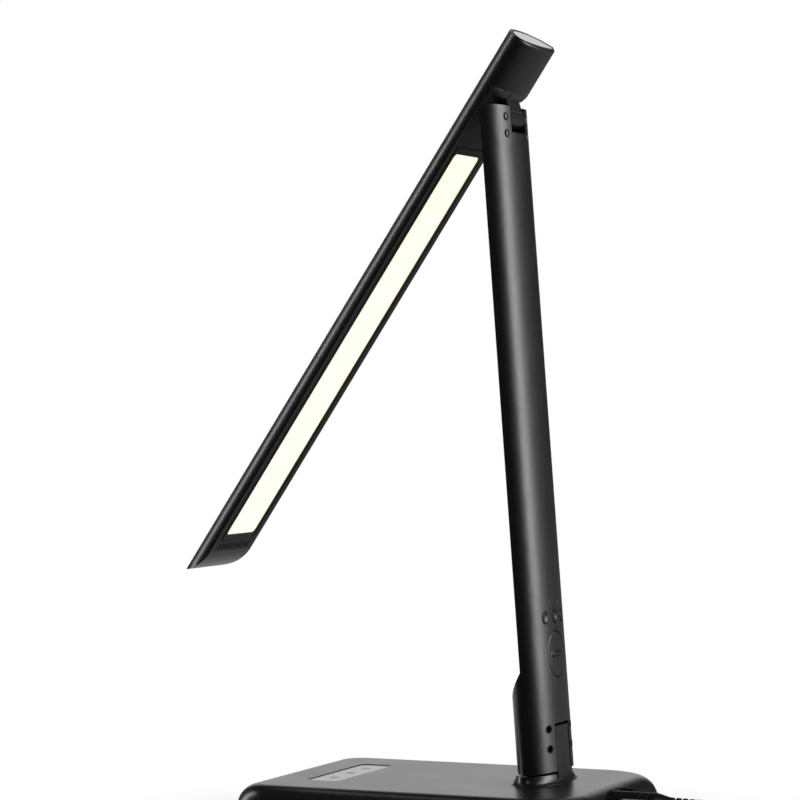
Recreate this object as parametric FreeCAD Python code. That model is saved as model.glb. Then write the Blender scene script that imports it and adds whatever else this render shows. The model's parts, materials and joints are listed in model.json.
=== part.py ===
"""Folding LED desk lamp: flat base, half-oval arm and half-oval head on two fork hinges.

Millimetres, +Z up, the user sits on the -Y side. The origin is on the table under the base's middle.
Arm pieces are drawn with the lower hinge pin at the origin and the arm upright, head pieces with the
upper hinge pin at the origin and the head closed against the arm. Both are then turned to their rest lean.
"""
import FreeCAD
import Part
import math
import os
from FreeCAD import Placement, Rotation, Vector

os.makedirs("parts", exist_ok=True)

# Shared small sizes
overrun = 2.0
slip = 0.15
running_clearance = 0.04

# Rest lean of the arm towards the user, and opening of the head from the arm, in degrees
arm_lean = 4.4
head_opening = 37.8

# Sections: the arm is the back half of an oval and the head the front half; the foot has both halves
arm_half_width = 29.5
arm_depth = 10.3
foot_depth = 11.9
head_half_width = 25.5
head_depth = 13.2
shell_wall = 2.2

# Base
base_width = 152.0
base_depth = 195.0
base_height = 24.0
base_front_corner = 21.0
base_rear_corner = 36.0
base_edge_round = 12.5
base_wall = 2.4
foot_height = 1.6
base_plate_thickness = 2.5
ballast_thickness = 5.0
ballast_margin = 20.0

# Hinges: where the pins stand
arm_offset_x = -9.0
lower_pin_inset = 52.25
lower_pin_y = base_depth / 2 - lower_pin_inset
lower_pin_rise = 14.3
foot_round = 9.0
upper_pin_back = 4.8
pin_spacing = 331.5
pin_radius = 1.9
fork_half_gap = 10.0
washer_thickness = 0.5
washer_radius = 4.4

# Arm
arm_top_rise = 6.5
arm_top_crown = 20.0
lower_slot_rise = 15.6
upper_slot_drop = 7.6
ramp_bottom = 25.5
ramp_top = 43.9
arm_cavity_bottom = 47.0
arm_cavity_top = 318.0
front_cover_thickness = 2.0

# Head
head_pin_depth = 9.2
head_end_rise = 41.5
underside_end = 280.2
tip_end = 300.5
head_cavity_end = 281.3
head_cavity_rise = 36.8
bottom_cover_thickness = 2.0

# Light panel, measured down the head from the upper pin
window_top = 28.2
window_bottom = 269.6
window_half_width = 17.1
window_corner = 2.6
frame_margin_side = 2.4
frame_margin_end = 4.0

# Cord
cord_diameter = 3.6

lower_pin = Vector(arm_offset_x, lower_pin_y, base_height + lower_pin_rise)
arm_turn = Placement(lower_pin, Rotation(Vector(1, 0, 0), arm_lean))
arm_front = foot_depth - foot_round
upper_pin_local = Vector(0, arm_front + upper_pin_back, pin_spacing)
upper_pin = arm_turn.multVec(upper_pin_local)
head_turn = Placement(upper_pin, Rotation(Vector(1, 0, 0), arm_lean - head_opening))
arm_top = pin_spacing + arm_top_rise
head_front = -head_pin_depth


def placed(shape, placement):
    """Copy of a shape, turned and moved."""
    return shape.transformed(placement.toMatrix(), True)


def save(name, shape, placement=None):
    """Write one node, turned to its rest place."""
    if placement is not None:
        shape = placed(shape, placement)
    shape.exportStep("parts/" + name + ".step")
    print(name, len(shape.Solids), "solids", round(shape.Volume, 1), "mm3", shape.isValid())


def box(low, high):
    """Box between two corners."""
    size = Vector(*high) - Vector(*low)
    return Part.makeBox(size.x, size.y, size.z, Vector(*low))


def half_bar(half_width, depth, plane_y, side, low, high):
    """Upright bar with a half-oval section, flat on a plane and round to the front (-1) or back (1)."""
    oval = Part.Ellipse(Vector(0, plane_y, low), half_width, depth)
    start = 0 if side > 0 else math.pi
    round_edge = Part.ArcOfEllipse(oval, start, start + math.pi).toShape()
    ends = (Vector(half_width, plane_y, low), Vector(-half_width, plane_y, low))
    flat_edge = Part.LineSegment(*ends).toShape()
    return Part.Face(Part.Wire([round_edge, flat_edge])).extrude(Vector(0, 0, high - low))


def prism(points, half_width):
    """Slab across X over a polygon of (y, z) points."""
    corners = [Vector(-half_width, y, z) for y, z in points]
    face = Part.Face(Part.makePolygon(corners + corners[:1]))
    return face.extrude(Vector(2 * half_width, 0, 0))


def cross_cylinder(radius, half_length, y=0.0, z=0.0):
    """Cylinder across X about a hinge line."""
    return Part.makeCylinder(radius, 2 * half_length, Vector(-half_length, y, z), Vector(1, 0, 0))


def back_cylinder(radius, x, z, front, back):
    """Cylinder along Y between two depths."""
    return Part.makeCylinder(radius, back - front, Vector(x, front, z), Vector(0, 1, 0))


def oval_depth(x, half_width, half_depth):
    """Depth of an oval's surface from its long axis, at a place across it."""
    return half_depth * math.sqrt(1 - (x / half_width) ** 2)


def tangent_point(point, radius, side):
    """Point where a line from a (y, z) point touches a circle about the origin."""
    reach = math.hypot(*point)
    angle = math.atan2(point[1], point[0]) + side * math.acos(radius / reach)
    return (radius * math.cos(angle), radius * math.sin(angle))


def rounded_face(half_x, low_y, high_y, low_radius, high_radius, z, middle_x=0.0):
    """Flat rectangle with one corner radius at each end of Y."""
    left = middle_x - half_x
    right = middle_x + half_x
    diagonal_share = 1 - math.sqrt(0.5)
    corners = (
        (right, low_y, -1, 1, low_radius),
        (right, high_y, -1, -1, high_radius),
        (left, high_y, 1, -1, high_radius),
        (left, low_y, 1, 1, low_radius),
    )
    edges = []
    last = None
    first = None
    for index, (x, y, inward_x, inward_y, radius) in enumerate(corners):
        along_y = Vector(x, y + inward_y * radius, z)
        along_x = Vector(x + inward_x * radius, y, z)
        middle = Vector(x + inward_x * radius * diagonal_share, y + inward_y * radius * diagonal_share, z)
        start, end = (along_x, along_y) if index % 2 == 0 else (along_y, along_x)
        if last is None:
            first = start
        else:
            edges.append(Part.LineSegment(last, start).toShape())
        edges.append(Part.Arc(start, middle, end).toShape())
        last = end
    edges.append(Part.LineSegment(last, first).toShape())
    return Part.Face(Part.Wire(edges))


def base_form(inset, bottom, top, edge_round):
    """Base block, drawn in from the outside by an inset, with its top edge rounded."""
    face = rounded_face(
        base_width / 2 - inset,
        -base_depth / 2 + inset,
        base_depth / 2 - inset,
        base_front_corner - inset,
        base_rear_corner - inset,
        bottom,
    )
    block = face.extrude(Vector(0, 0, top - bottom))
    rim = [e for e in block.Edges if all(abs(v.Point.z - top) < slip for v in e.Vertexes)]
    return block.makeFillet(edge_round, rim) if edge_round > 0 else block


def ring(outer, inner, low_x, high_x):
    """Washer across X."""
    length = high_x - low_x
    disc = Part.makeCylinder(outer, length, Vector(low_x, 0, 0), Vector(1, 0, 0))
    hole = Part.makeCylinder(inner, length, Vector(low_x, 0, 0), Vector(1, 0, 0))
    return disc.cut(hole)


# Base shell with its touch recess, connector bay and screw bosses
touch_half_width = 37.5
touch_depth = 18.0
touch_corner = 4.5
touch_inset = 38.0
touch_middle_y = -base_depth / 2 + touch_inset
touch_recess = 1.2
touch_thickness = 0.9
bay_half_width = 24.0
bay_floor_rise = 6.0
bay_arch_radius = 90.0
bay_arch_top = 23.2
bay_depth = 7.5
bay_wall_y = base_depth / 2 - bay_depth
bay_block_depth = 4.0
jack_x = 6.0
jack_drop = 6.5
jack_nose_radius = 4.4
boss_radius = 4.0
boss_inset_x = 16.0
boss_inset_front = 18.0
boss_inset_rear = 34.0
screw_shank_radius = 1.4
post_root_half_x = 15.0
post_root_half_y = 8.0
jack_z = base_height - jack_drop
plate_top = foot_height + base_plate_thickness
ballast_top = plate_top + ballast_thickness
ceiling = base_height - base_wall
boss_places = [
    (side * (base_width / 2 - boss_inset_x), y)
    for side in (-1, 1)
    for y in (-base_depth / 2 + boss_inset_front, base_depth / 2 - boss_inset_rear)
]
collar_y = lower_pin_y + arm_front - (foot_depth - arm_depth) / 2


def touch_outline(shrink, low, high):
    """Rounded plate in the touch panel's place."""
    face = rounded_face(
        touch_half_width - shrink,
        touch_middle_y - touch_depth / 2 + shrink,
        touch_middle_y + touch_depth / 2 - shrink,
        touch_corner - shrink,
        touch_corner - shrink,
        low,
    )
    return face.extrude(Vector(0, 0, high - low))


def post_root(grow, low, high):
    """Block of the hinge post that passes through the base shell."""
    return box(
        (arm_offset_x - post_root_half_x - grow, collar_y - post_root_half_y - grow, low),
        (arm_offset_x + post_root_half_x + grow, collar_y + post_root_half_y + grow, high),
    )


bay_block = box(
    (jack_x - bay_half_width - base_wall, bay_wall_y - bay_block_depth, plate_top + slip),
    (jack_x + bay_half_width + base_wall, base_depth / 2, base_height),
)
outer_form = base_form(0, foot_height, base_height, base_edge_round)
base_shell = outer_form.cut(base_form(base_wall, foot_height, ceiling, base_edge_round - base_wall))
base_shell = base_shell.fuse(bay_block.common(outer_form))
for x, y in boss_places:
    boss = Part.makeCylinder(boss_radius, base_height - plate_top, Vector(x, y, plate_top))
    base_shell = base_shell.fuse(boss.common(outer_form))
    pilot = Part.makeCylinder(screw_shank_radius, ceiling - plate_top - base_wall, Vector(x, y, plate_top))
    base_shell = base_shell.cut(pilot)
bay_slab = box(
    (jack_x - bay_half_width, bay_wall_y, bay_floor_rise),
    (jack_x + bay_half_width, base_depth / 2 + overrun, base_height),
)
bay_arch = Part.makeCylinder(
    bay_arch_radius,
    base_depth / 2 + overrun - bay_wall_y,
    Vector(jack_x, bay_wall_y, bay_arch_top - bay_arch_radius),
    Vector(0, 1, 0),
)
base_shell = base_shell.cut(bay_slab.common(bay_arch))
base_shell = base_shell.cut(
    back_cylinder(jack_nose_radius + slip, jack_x, jack_z, bay_wall_y - bay_block_depth, bay_wall_y)
)
base_shell = base_shell.cut(touch_outline(0, base_height - touch_recess, base_height))
base_shell = base_shell.cut(post_root(slip, ceiling - overrun, base_height + overrun))
save("base_shell", base_shell)

touch_floor = base_height - touch_recess
save("touch_panel", touch_outline(slip, touch_floor, touch_floor + touch_thickness))

board_thickness = 1.2
touch_board_margin = 3.0
touch_board = box(
    (-touch_half_width - touch_board_margin, touch_middle_y - touch_depth / 2, ceiling - board_thickness),
    (touch_half_width + touch_board_margin, touch_middle_y + touch_depth / 2, ceiling),
)
save("touch_board", touch_board)

# Underside: plate, ballast, feet and screws
screw_head_radius = 2.8
screw_head_height = 1.5
screw_reach = 9.0
pad_radius = 7.0
pad_inset_x = 34.0
pad_inset_y = 20.0
pad_places = [
    (sx * (base_width / 2 - pad_inset_x), sy * (base_depth / 2 - pad_inset_y))
    for sx in (-1, 1)
    for sy in (-1, 1)
]
pad_places.append((0, 0))
plate_inset = base_wall + slip
base_plate = base_form(plate_inset, foot_height, plate_top, 0)
feet = []
screws = []
for x, y in pad_places:
    feet.append(Part.makeCylinder(pad_radius, foot_height, Vector(x, y, 0)))
for x, y in boss_places:
    seat = Part.makeCylinder(screw_head_radius + slip, screw_head_height, Vector(x, y, foot_height))
    hole = Part.makeCylinder(screw_shank_radius + slip, base_plate_thickness, Vector(x, y, foot_height))
    base_plate = base_plate.cut(seat).cut(hole)
    head = Part.makeCylinder(screw_head_radius, screw_head_height, Vector(x, y, foot_height))
    shank = Part.makeCylinder(screw_shank_radius - running_clearance, screw_reach, Vector(x, y, foot_height))
    screws.append(head.fuse(shank).removeSplitter())
save("base_plate", base_plate)
save("rubber_feet", Part.makeCompound(feet))
save("base_screws", Part.makeCompound(screws))
ballast = box(
    (-base_width / 2 + ballast_margin, -base_depth / 2 + ballast_margin, plate_top),
    (base_width / 2 - ballast_margin, bay_wall_y - bay_block_depth - ballast_margin, ballast_top),
)
for x, y in boss_places:
    ballast = ballast.cut(Part.makeCylinder(boss_radius + slip, ballast_thickness, Vector(x, y, plate_top)))
save("ballast_plate", ballast)

# Power socket in the rear bay
jack_half_width = 5.5
jack_length = 14.0
jack_bore_radius = 2.8
jack_bore_depth = 9.5
jack_pin_radius = 1.0
jack_back = bay_wall_y - bay_block_depth
jack = box(
    (jack_x - jack_half_width, jack_back - jack_length, ballast_top + slip),
    (jack_x + jack_half_width, jack_back, ceiling - slip),
)
jack = jack.fuse(back_cylinder(jack_nose_radius, jack_x, jack_z, jack_back - overrun, bay_wall_y))
jack = jack.cut(back_cylinder(jack_bore_radius, jack_x, jack_z, bay_wall_y - jack_bore_depth, bay_wall_y))
jack = jack.fuse(
    back_cylinder(
        jack_pin_radius,
        jack_x,
        jack_z,
        bay_wall_y - jack_bore_depth - overrun,
        bay_wall_y - overrun,
    )
)
save("dc_jack", jack.removeSplitter())

# Hinge post: flared collar on the base and the post that fills the arm's slot
collar_height = 4.9
collar_flare = 3.0
collar_flare_share = 0.3
collar_height_share = 0.4
post_side_gap = 0.5
post_front = 4.6
post_top = 14.3
post_half_width = fork_half_gap - post_side_gap
collar_half_depth = (foot_depth + arm_depth) / 2
collar_rings = []
for rise, flare in (
    (0, collar_flare),
    (collar_height * collar_height_share, collar_flare * collar_flare_share),
    (collar_height, 0),
):
    middle = Vector(arm_offset_x, collar_y, base_height + rise)
    oval = Part.Ellipse(middle, arm_half_width + flare, collar_half_depth + flare)
    collar_rings.append(Part.Wire([oval.toShape()]))
collar = Part.makeLoft(collar_rings, True)
post_bottom = -lower_pin_rise
post_back = arm_front + arm_depth
post = half_bar(arm_half_width, arm_depth, arm_front, 1, post_bottom, post_top)
post = post.fuse(box((-arm_half_width, -post_front, post_bottom), (arm_half_width, arm_front, post_top)))
post = post.common(box((-post_half_width, -post_front, post_bottom), (post_half_width, post_back, post_top)))
post = post.cut(cross_cylinder(pin_radius + running_clearance, fork_half_gap))
post = placed(post, arm_turn)
above_base = box(
    (-base_width, -base_depth, base_height),
    (base_width, base_depth, base_height + lower_pin_rise + post_top + overrun),
)
hinge_post = collar.fuse(post.common(above_base))
hinge_post = hinge_post.fuse(post_root(0, ballast_top, base_height + collar_height))
save("hinge_post", hinge_post.removeSplitter())

# Lower hinge pin and washers
lower_pin_half_length = 14.5
upper_pin_half_length = 12.8


def hinge_washers(inner_face):
    """Pair of friction washers against the inner faces of a fork."""
    hole = pin_radius + running_clearance
    right = ring(washer_radius, hole, inner_face - washer_thickness, inner_face)
    left = ring(washer_radius, hole, -inner_face, -inner_face + washer_thickness)
    return Part.makeCompound([left, right])


# Fork screws, recessed in the arm's back
fork_screw_radius = 1.9
fork_screw_head = 1.8
fork_screw_shank = 1.0
fork_screw_length = 6.0
fork_hole_radius = 2.1
fork_hole_floor = 8.4
lower_screw_x = 16.0
lower_screw_heights = (13.3, 3.1)
upper_screw_x = 15.2
upper_screw_heights = (331.7, 322.9)


def fork_screw_places():
    """Each fork screw's place across and along the arm, lower fork first."""
    places = []
    for x, heights in ((lower_screw_x, lower_screw_heights), (upper_screw_x, upper_screw_heights)):
        places.append([(side * x, z) for side in (-1, 1) for z in heights])
    return places


def fork_screws(places):
    """Screws of one fork, with their shanks towards the front."""
    made = []
    for x, z in places:
        head = back_cylinder(fork_screw_radius, x, z, fork_hole_floor, fork_hole_floor + fork_screw_head)
        stem = back_cylinder(fork_screw_shank, x, z, fork_hole_floor - fork_screw_length, fork_hole_floor)
        made.append(head.fuse(stem).removeSplitter())
    return Part.makeCompound(made)


# Set buttons and battery cover in the arm's back
button_radius = 3.25
button_pitch = 11.8
button_gap = 7.4
button_proud = 0.3
button_flange = 0.8
button_flange_low = 8.2
button_flange_high = 8.8
cover_radius = 12.0
cover_height = 51.2
button_height = cover_height + cover_radius + button_gap
cover_inner = 10.8
cover_rim = 1.4
lug_reach = 2.0
lug_low = 9.2
lug_high = 10.2
lug_half_width = 2.5
grip_half_length = 7.0
grip_half_height = 1.2
grip_proud = 0.7
button_names = ("set_button_left", "set_button_middle", "set_button_right")
button_places = (-button_pitch, 0.0, button_pitch)
back_limit = arm_front + arm_depth + overrun
side_limit = arm_half_width + overrun

# Arm shell
arm_bottom = -foot_round
arm = half_bar(arm_half_width, arm_depth, arm_front, 1, arm_bottom, arm_top)
foot = half_bar(arm_half_width, foot_depth, arm_front, -1, arm_bottom, ramp_top)
ramp_slope = (ramp_top - ramp_bottom) / foot_depth
ramp_far = foot_depth + overrun
foot = foot.cut(prism(
    [
        (arm_front, ramp_top),
        (arm_front - ramp_far, ramp_top - ramp_slope * ramp_far),
        (arm_front - ramp_far, ramp_top + overrun),
        (arm_front, ramp_top + overrun),
    ],
    side_limit,
))
front_below_pin = box((-side_limit, arm_front - ramp_far, arm_bottom), (side_limit, 0, 0))
foot = foot.cut(front_below_pin.cut(cross_cylinder(foot_round, side_limit + overrun)))
arm = arm.fuse(foot).removeSplitter()
crown_axis = arm_top - arm_top_crown
crown_y = arm_front + arm_depth / 2
above_crown = box(
    (-side_limit, arm_front - overrun, crown_axis),
    (side_limit, back_limit, arm_top + overrun),
)
crown_cylinder = cross_cylinder(arm_top_crown, side_limit + overrun, crown_y, crown_axis)
arm = arm.cut(above_crown.cut(crown_cylinder))
arm_inner_width = arm_half_width - shell_wall
arm_inner_depth = arm_depth - shell_wall
cavity = half_bar(arm_inner_width, arm_inner_depth, arm_front, 1, arm_cavity_bottom, arm_cavity_top)
arm = arm.cut(cavity)
for low, high in (
    (arm_bottom - overrun, lower_slot_rise),
    (pin_spacing - upper_slot_drop, arm_top + overrun),
):
    arm = arm.cut(box(
        (-fork_half_gap, arm_front - ramp_far, low),
        (fork_half_gap, back_limit, high),
    ))
arm = arm.cut(cross_cylinder(pin_radius + running_clearance, lower_pin_half_length + slip))
arm = arm.cut(cross_cylinder(
    pin_radius + running_clearance, upper_pin_half_length + slip, upper_pin_local.y, upper_pin_local.z
))
for x, z in [place for places in fork_screw_places() for place in places]:
    arm = arm.cut(back_cylinder(fork_hole_radius, x, z, fork_hole_floor, back_limit))
    arm = arm.cut(back_cylinder(
        fork_screw_shank + running_clearance,
        x,
        z,
        fork_hole_floor - fork_screw_length - slip,
        fork_hole_floor,
    ))
for x in button_places:
    arm = arm.cut(back_cylinder(button_radius + slip, x, button_height, arm_front, back_limit))
cover_hole_floor = arm_front + front_cover_thickness
arm = arm.cut(back_cylinder(cover_radius + slip, 0, cover_height, cover_hole_floor, back_limit))
groove_radius = cover_radius + lug_reach + slip
arm = arm.cut(back_cylinder(groove_radius, 0, cover_height, lug_low - slip, lug_high + slip))
save("arm_shell", arm, arm_turn)

for name, pin_place, half_length in (
    ("lower_hinge_pin", Vector(0, 0, 0), lower_pin_half_length),
    ("upper_hinge_pin", upper_pin_local, upper_pin_half_length),
):
    save(name, cross_cylinder(pin_radius, half_length, pin_place.y, pin_place.z), arm_turn)
save("lower_hinge_washers", hinge_washers(fork_half_gap), arm_turn)
upper_washers = hinge_washers(fork_half_gap)
upper_washers.translate(upper_pin_local)
save("upper_hinge_washers", upper_washers, arm_turn)
lower_places, upper_places = fork_screw_places()
save("lower_hinge_screws", fork_screws(lower_places), arm_turn)
save("upper_hinge_screws", fork_screws(upper_places), arm_turn)

# Front cover with its display window, and the clock behind it
display_half_width = 19.0
display_low = 53.0
display_high = 105.0
display_thickness = 0.8
display_bezel = 3.0
lcd_thickness = 1.5
clock_board_thickness = 0.8
clock_board_half_width = 16.0
clock_board_low = 49.0
clock_board_high = 109.0
coin_radius = 10.0
coin_thickness = 3.2
cover_back = arm_front + front_cover_thickness
front_cover = half_bar(
    arm_inner_width - slip,
    arm_inner_depth - slip,
    arm_front,
    1,
    arm_cavity_bottom + slip,
    arm_cavity_top - slip,
)
front_cover = front_cover.common(box(
    (-arm_half_width, arm_front, arm_cavity_bottom),
    (arm_half_width, cover_back, arm_cavity_top),
))
window_box = box(
    (-display_half_width, arm_front, display_low),
    (display_half_width, arm_front + display_thickness, display_high),
)
sight = box(
    (-display_half_width + display_bezel, arm_front, display_low + display_bezel),
    (display_half_width - display_bezel, cover_back, display_high - display_bezel),
)
front_cover = front_cover.cut(window_box).cut(sight)
save("arm_front_cover", front_cover, arm_turn)
display_window = box(
    (-display_half_width + slip, arm_front, display_low + slip),
    (display_half_width - slip, arm_front + display_thickness, display_high - slip),
)
save("display_window", display_window, arm_turn)
lcd_back = cover_back + lcd_thickness
lcd = box(
    (-clock_board_half_width, cover_back, display_low),
    (clock_board_half_width, lcd_back, display_high),
)
sight_inset = display_bezel + slip
lcd = lcd.fuse(box(
    (-display_half_width + sight_inset, arm_front + display_thickness, display_low + sight_inset),
    (display_half_width - sight_inset, cover_back, display_high - sight_inset),
))
save("lcd_module", lcd.removeSplitter(), arm_turn)
board_back = lcd_back + clock_board_thickness
clock_board = box(
    (-clock_board_half_width, lcd_back, clock_board_low),
    (clock_board_half_width, board_back, clock_board_high),
)
save("clock_board", clock_board, arm_turn)
coin_cell = back_cylinder(coin_radius, 0, cover_height, board_back, board_back + coin_thickness)
save("coin_cell", coin_cell, arm_turn)

arm_skin = half_bar(arm_half_width, arm_depth, arm_front, 1, 0, pin_spacing)
battery_cover = back_cylinder(cover_radius, 0, cover_height, cover_inner, back_limit).common(arm_skin)
lug_radius = cover_radius + lug_reach
lugs = box((-lug_half_width, lug_low, -lug_radius), (lug_half_width, lug_high, lug_radius))
lug_disc = back_cylinder(lug_radius, 0, 0, lug_low, lug_high)
lug_core = back_cylinder(cover_radius - cover_rim, 0, 0, lug_low, lug_high)
lugs = lugs.common(lug_disc).cut(lug_core)
lugs.translate(Vector(0, 0, cover_height))
lug_stem = back_cylinder(cover_radius, 0, cover_height, lug_low, cover_inner)
lug_stem = lug_stem.cut(back_cylinder(cover_radius - cover_rim, 0, cover_height, lug_low, cover_inner))
grip_skin = half_bar(arm_half_width + grip_proud, arm_depth + grip_proud, arm_front, 1, 0, pin_spacing)
grip = box(
    (-grip_half_length, cover_inner, cover_height - grip_half_height),
    (grip_half_length, back_limit, cover_height + grip_half_height),
).common(grip_skin)
battery_cover = battery_cover.fuse(lugs).fuse(lug_stem).fuse(grip)
save("battery_cover", battery_cover.removeSplitter(), arm_turn)

for name, x in zip(button_names, button_places):
    face = arm_front + oval_depth(x, arm_half_width, arm_depth) + button_proud
    cap = back_cylinder(button_radius, x, button_height, button_flange_low, face)
    flange_radius = button_radius + button_flange
    flange = back_cylinder(flange_radius, x, button_height, button_flange_low, button_flange_high)
    save(name, cap.fuse(flange).removeSplitter(), arm_turn)

# Head shell: the front half of the oval, rounded down to a thin tip
head_top = head_end_rise
head = half_bar(head_half_width, head_depth, head_front, -1, -tip_end, head_top)
tip_length = tip_end - underside_end
tip_round = (head_depth ** 2 + tip_length ** 2) / (2 * head_depth)
head_side = head_half_width + overrun
tip_space = box((-head_side, head_front - head_depth, -tip_end), (head_side, head_front, -underside_end))
tip_axis_y = head_front - tip_round
tip_space = tip_space.cut(cross_cylinder(tip_round, head_side + overrun, tip_axis_y, -underside_end))
head = head.cut(tip_space)
head_inner_width = head_half_width - shell_wall
head_inner_depth = head_depth - shell_wall
head_cavity = half_bar(
    head_inner_width, head_inner_depth, head_front, -1, -head_cavity_end, head_cavity_rise
)
tip_wall = cross_cylinder(tip_round - shell_wall, head_side + overrun, tip_axis_y, -underside_end)
beyond_underside = box(
    (-head_side, head_front - head_depth, -tip_end), (head_side, head_front, -underside_end)
)
head_cavity = head_cavity.cut(beyond_underside.cut(tip_wall))
head = head.cut(head_cavity)

# Neck: the shallow back half behind the head's upper end, its chin, and the knuckle in the arm's slot
neck_depth = 6.6
neck_round = 1.4
chin_top = 13.4
chin_bottom = 6.8
chin_half_width = 9.4
chin_depth = 2.6
knuckle_radius = 5.2
knuckle_side_gap = 0.6
tongue_top = 11.0
tongue_back_share = 0.55
neck = half_bar(head_half_width, neck_depth, head_front, 1, chin_top, head_top)
rim = [
    e for e in neck.Edges
    if all(abs(v.Point.z - head_top) < slip for v in e.Vertexes) and e.Curve.TypeId != "Part::GeomLine"
]
neck = neck.makeFillet(neck_round, rim)


def half_outline(half_width, depth, z):
    """Outline of a half oval on the head's underside."""
    oval = Part.Ellipse(Vector(0, head_front, z), half_width, depth)
    round_edge = Part.ArcOfEllipse(oval, 0, math.pi).toShape()
    ends = (Vector(half_width, head_front, z), Vector(-half_width, head_front, z))
    return Part.Wire([round_edge, Part.LineSegment(*ends).toShape()])


chin = Part.makeLoft(
    [
        half_outline(head_half_width, neck_depth, chin_top),
        half_outline(chin_half_width, chin_depth, chin_bottom),
    ],
    True,
    True,
)
knuckle_half_width = fork_half_gap - knuckle_side_gap
front_root = (head_front, chin_bottom)
top_root = (head_front, tongue_top)
back_root = (head_front + neck_depth * tongue_back_share, tongue_top)
tongue = prism(
    [front_root, top_root, back_root, tangent_point(back_root, knuckle_radius, -1), (0, 0),
     tangent_point(front_root, knuckle_radius, 1)],
    knuckle_half_width,
)
barrel = cross_cylinder(knuckle_radius, knuckle_half_width)
neck_knuckle = neck.fuse(chin).fuse(tongue).fuse(barrel)
neck_knuckle = neck_knuckle.cut(cross_cylinder(pin_radius + running_clearance, head_half_width))

# End cap set into the neck's end
cap_inset = 1.8
cap_thickness = 1.2


def end_cap(grow):
    """Plate with the outline of head and neck, drawn in by the cap's inset."""
    low = head_top - cap_thickness
    width = head_half_width - cap_inset + grow
    front = half_bar(width, head_depth - cap_inset + grow, head_front, -1, low, head_top)
    back = half_bar(width, neck_depth - cap_inset + grow, head_front, 1, low, head_top)
    return front.fuse(back).removeSplitter()


cap_space = end_cap(slip)
save("head_end_cap", end_cap(0), head_turn)
save("neck_knuckle", neck_knuckle.cut(cap_space).removeSplitter(), head_turn)
save("head_shell", head.cut(cap_space), head_turn)

# Underside: bottom cover with vents, panel frame, diffuser and the light unit behind it
vent_count = 12
vent_pitch = 3.2
vent_half_width = 0.6
vent_half_length = 2.2
vent_middle = 277.3
frame_half_width = window_half_width + frame_margin_side
frame_top = window_top - frame_margin_end
frame_bottom = window_bottom + frame_margin_end
cover_inner_face = head_front - bottom_cover_thickness
diffuser_recess = 0.3
diffuser_flange = 1.5
diffuser_lip = 1.6
guide_thickness = 2.4
reflector_thickness = 0.4
strip_thickness = 0.8
spreader_thickness = 1.0
spreader_half_width = 13.5
led_count = 24
led_half_length = 1.4
led_proud = 0.5
strip_height_share = 0.8


def panel_block(half_width, top, bottom, front, back, corner):
    """Upright plate in the head, between two depths, with rounded corners."""
    face = rounded_face(half_width, -bottom, -top, corner, corner, 0)
    plate = face.extrude(Vector(0, 0, back - front))
    return placed(plate, Placement(Vector(0, back, 0), Rotation(Vector(1, 0, 0), 90)))


bottom_cover = half_bar(
    head_inner_width - slip, head_inner_depth - slip, head_front, -1, -underside_end, head_cavity_rise - slip
)
bottom_cover = bottom_cover.common(box(
    (-head_half_width, cover_inner_face, -underside_end),
    (head_half_width, head_front, head_cavity_rise),
))
bottom_cover = bottom_cover.cut(
    panel_block(
        frame_half_width + slip,
        frame_top - slip,
        frame_bottom + slip,
        cover_inner_face,
        head_front,
        window_corner,
    )
)
for index in range(vent_count):
    x = (index - (vent_count - 1) / 2) * vent_pitch
    bottom_cover = bottom_cover.cut(box(
        (x - vent_half_width, cover_inner_face, -vent_middle - vent_half_length),
        (x + vent_half_width, head_front, -vent_middle + vent_half_length),
    ))
save("head_bottom_cover", bottom_cover, head_turn)

panel_frame = panel_block(
    frame_half_width, frame_top, frame_bottom, cover_inner_face, head_front, window_corner
)
panel_frame = panel_frame.cut(
    panel_block(window_half_width, window_top, window_bottom, cover_inner_face, head_front, window_corner)
)
save("panel_frame", panel_frame, head_turn)

diffuser_face = head_front - diffuser_recess
flange_back = cover_inner_face - diffuser_flange
diffuser = panel_block(
    window_half_width - slip,
    window_top + slip,
    window_bottom - slip,
    flange_back,
    diffuser_face,
    window_corner,
)
diffuser = diffuser.fuse(panel_block(
    window_half_width + diffuser_lip,
    window_top - diffuser_lip,
    window_bottom + diffuser_lip,
    flange_back,
    cover_inner_face,
    window_corner,
))
save("diffuser", diffuser.removeSplitter(), head_turn)

guide_half_width = window_half_width + diffuser_lip
guide_back = flange_back - guide_thickness
guide = panel_block(guide_half_width, window_top, window_bottom, guide_back, flange_back, window_corner)
save("light_guide", guide, head_turn)
reflector_back = guide_back - reflector_thickness
reflector = panel_block(
    guide_half_width - strip_thickness, window_top, window_bottom, reflector_back, guide_back, window_corner
)
save("reflector", reflector, head_turn)
spreader = panel_block(
    spreader_half_width,
    window_top,
    window_bottom,
    reflector_back - spreader_thickness,
    reflector_back,
    window_corner,
)
save("heat_spreader", spreader, head_turn)
strips = []
strip_front = flange_back - guide_thickness * strip_height_share
led_pitch = (window_bottom - window_top) / led_count
for side in (-1, 1):
    near = guide_half_width + led_proud
    far = near + strip_thickness
    strip = box(
        (min(side * near, side * far), strip_front, -window_bottom),
        (max(side * near, side * far), flange_back, -window_top),
    )
    for index in range(led_count):
        z = -window_top - (index + 0.5) * led_pitch
        chip = box(
            (min(side * guide_half_width, side * near), strip_front, z - led_half_length),
            (max(side * guide_half_width, side * near), flange_back, z + led_half_length),
        )
        strip = strip.fuse(chip)
    strips.append(strip.removeSplitter())
save("led_strips", Part.makeCompound(strips), head_turn)

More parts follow.
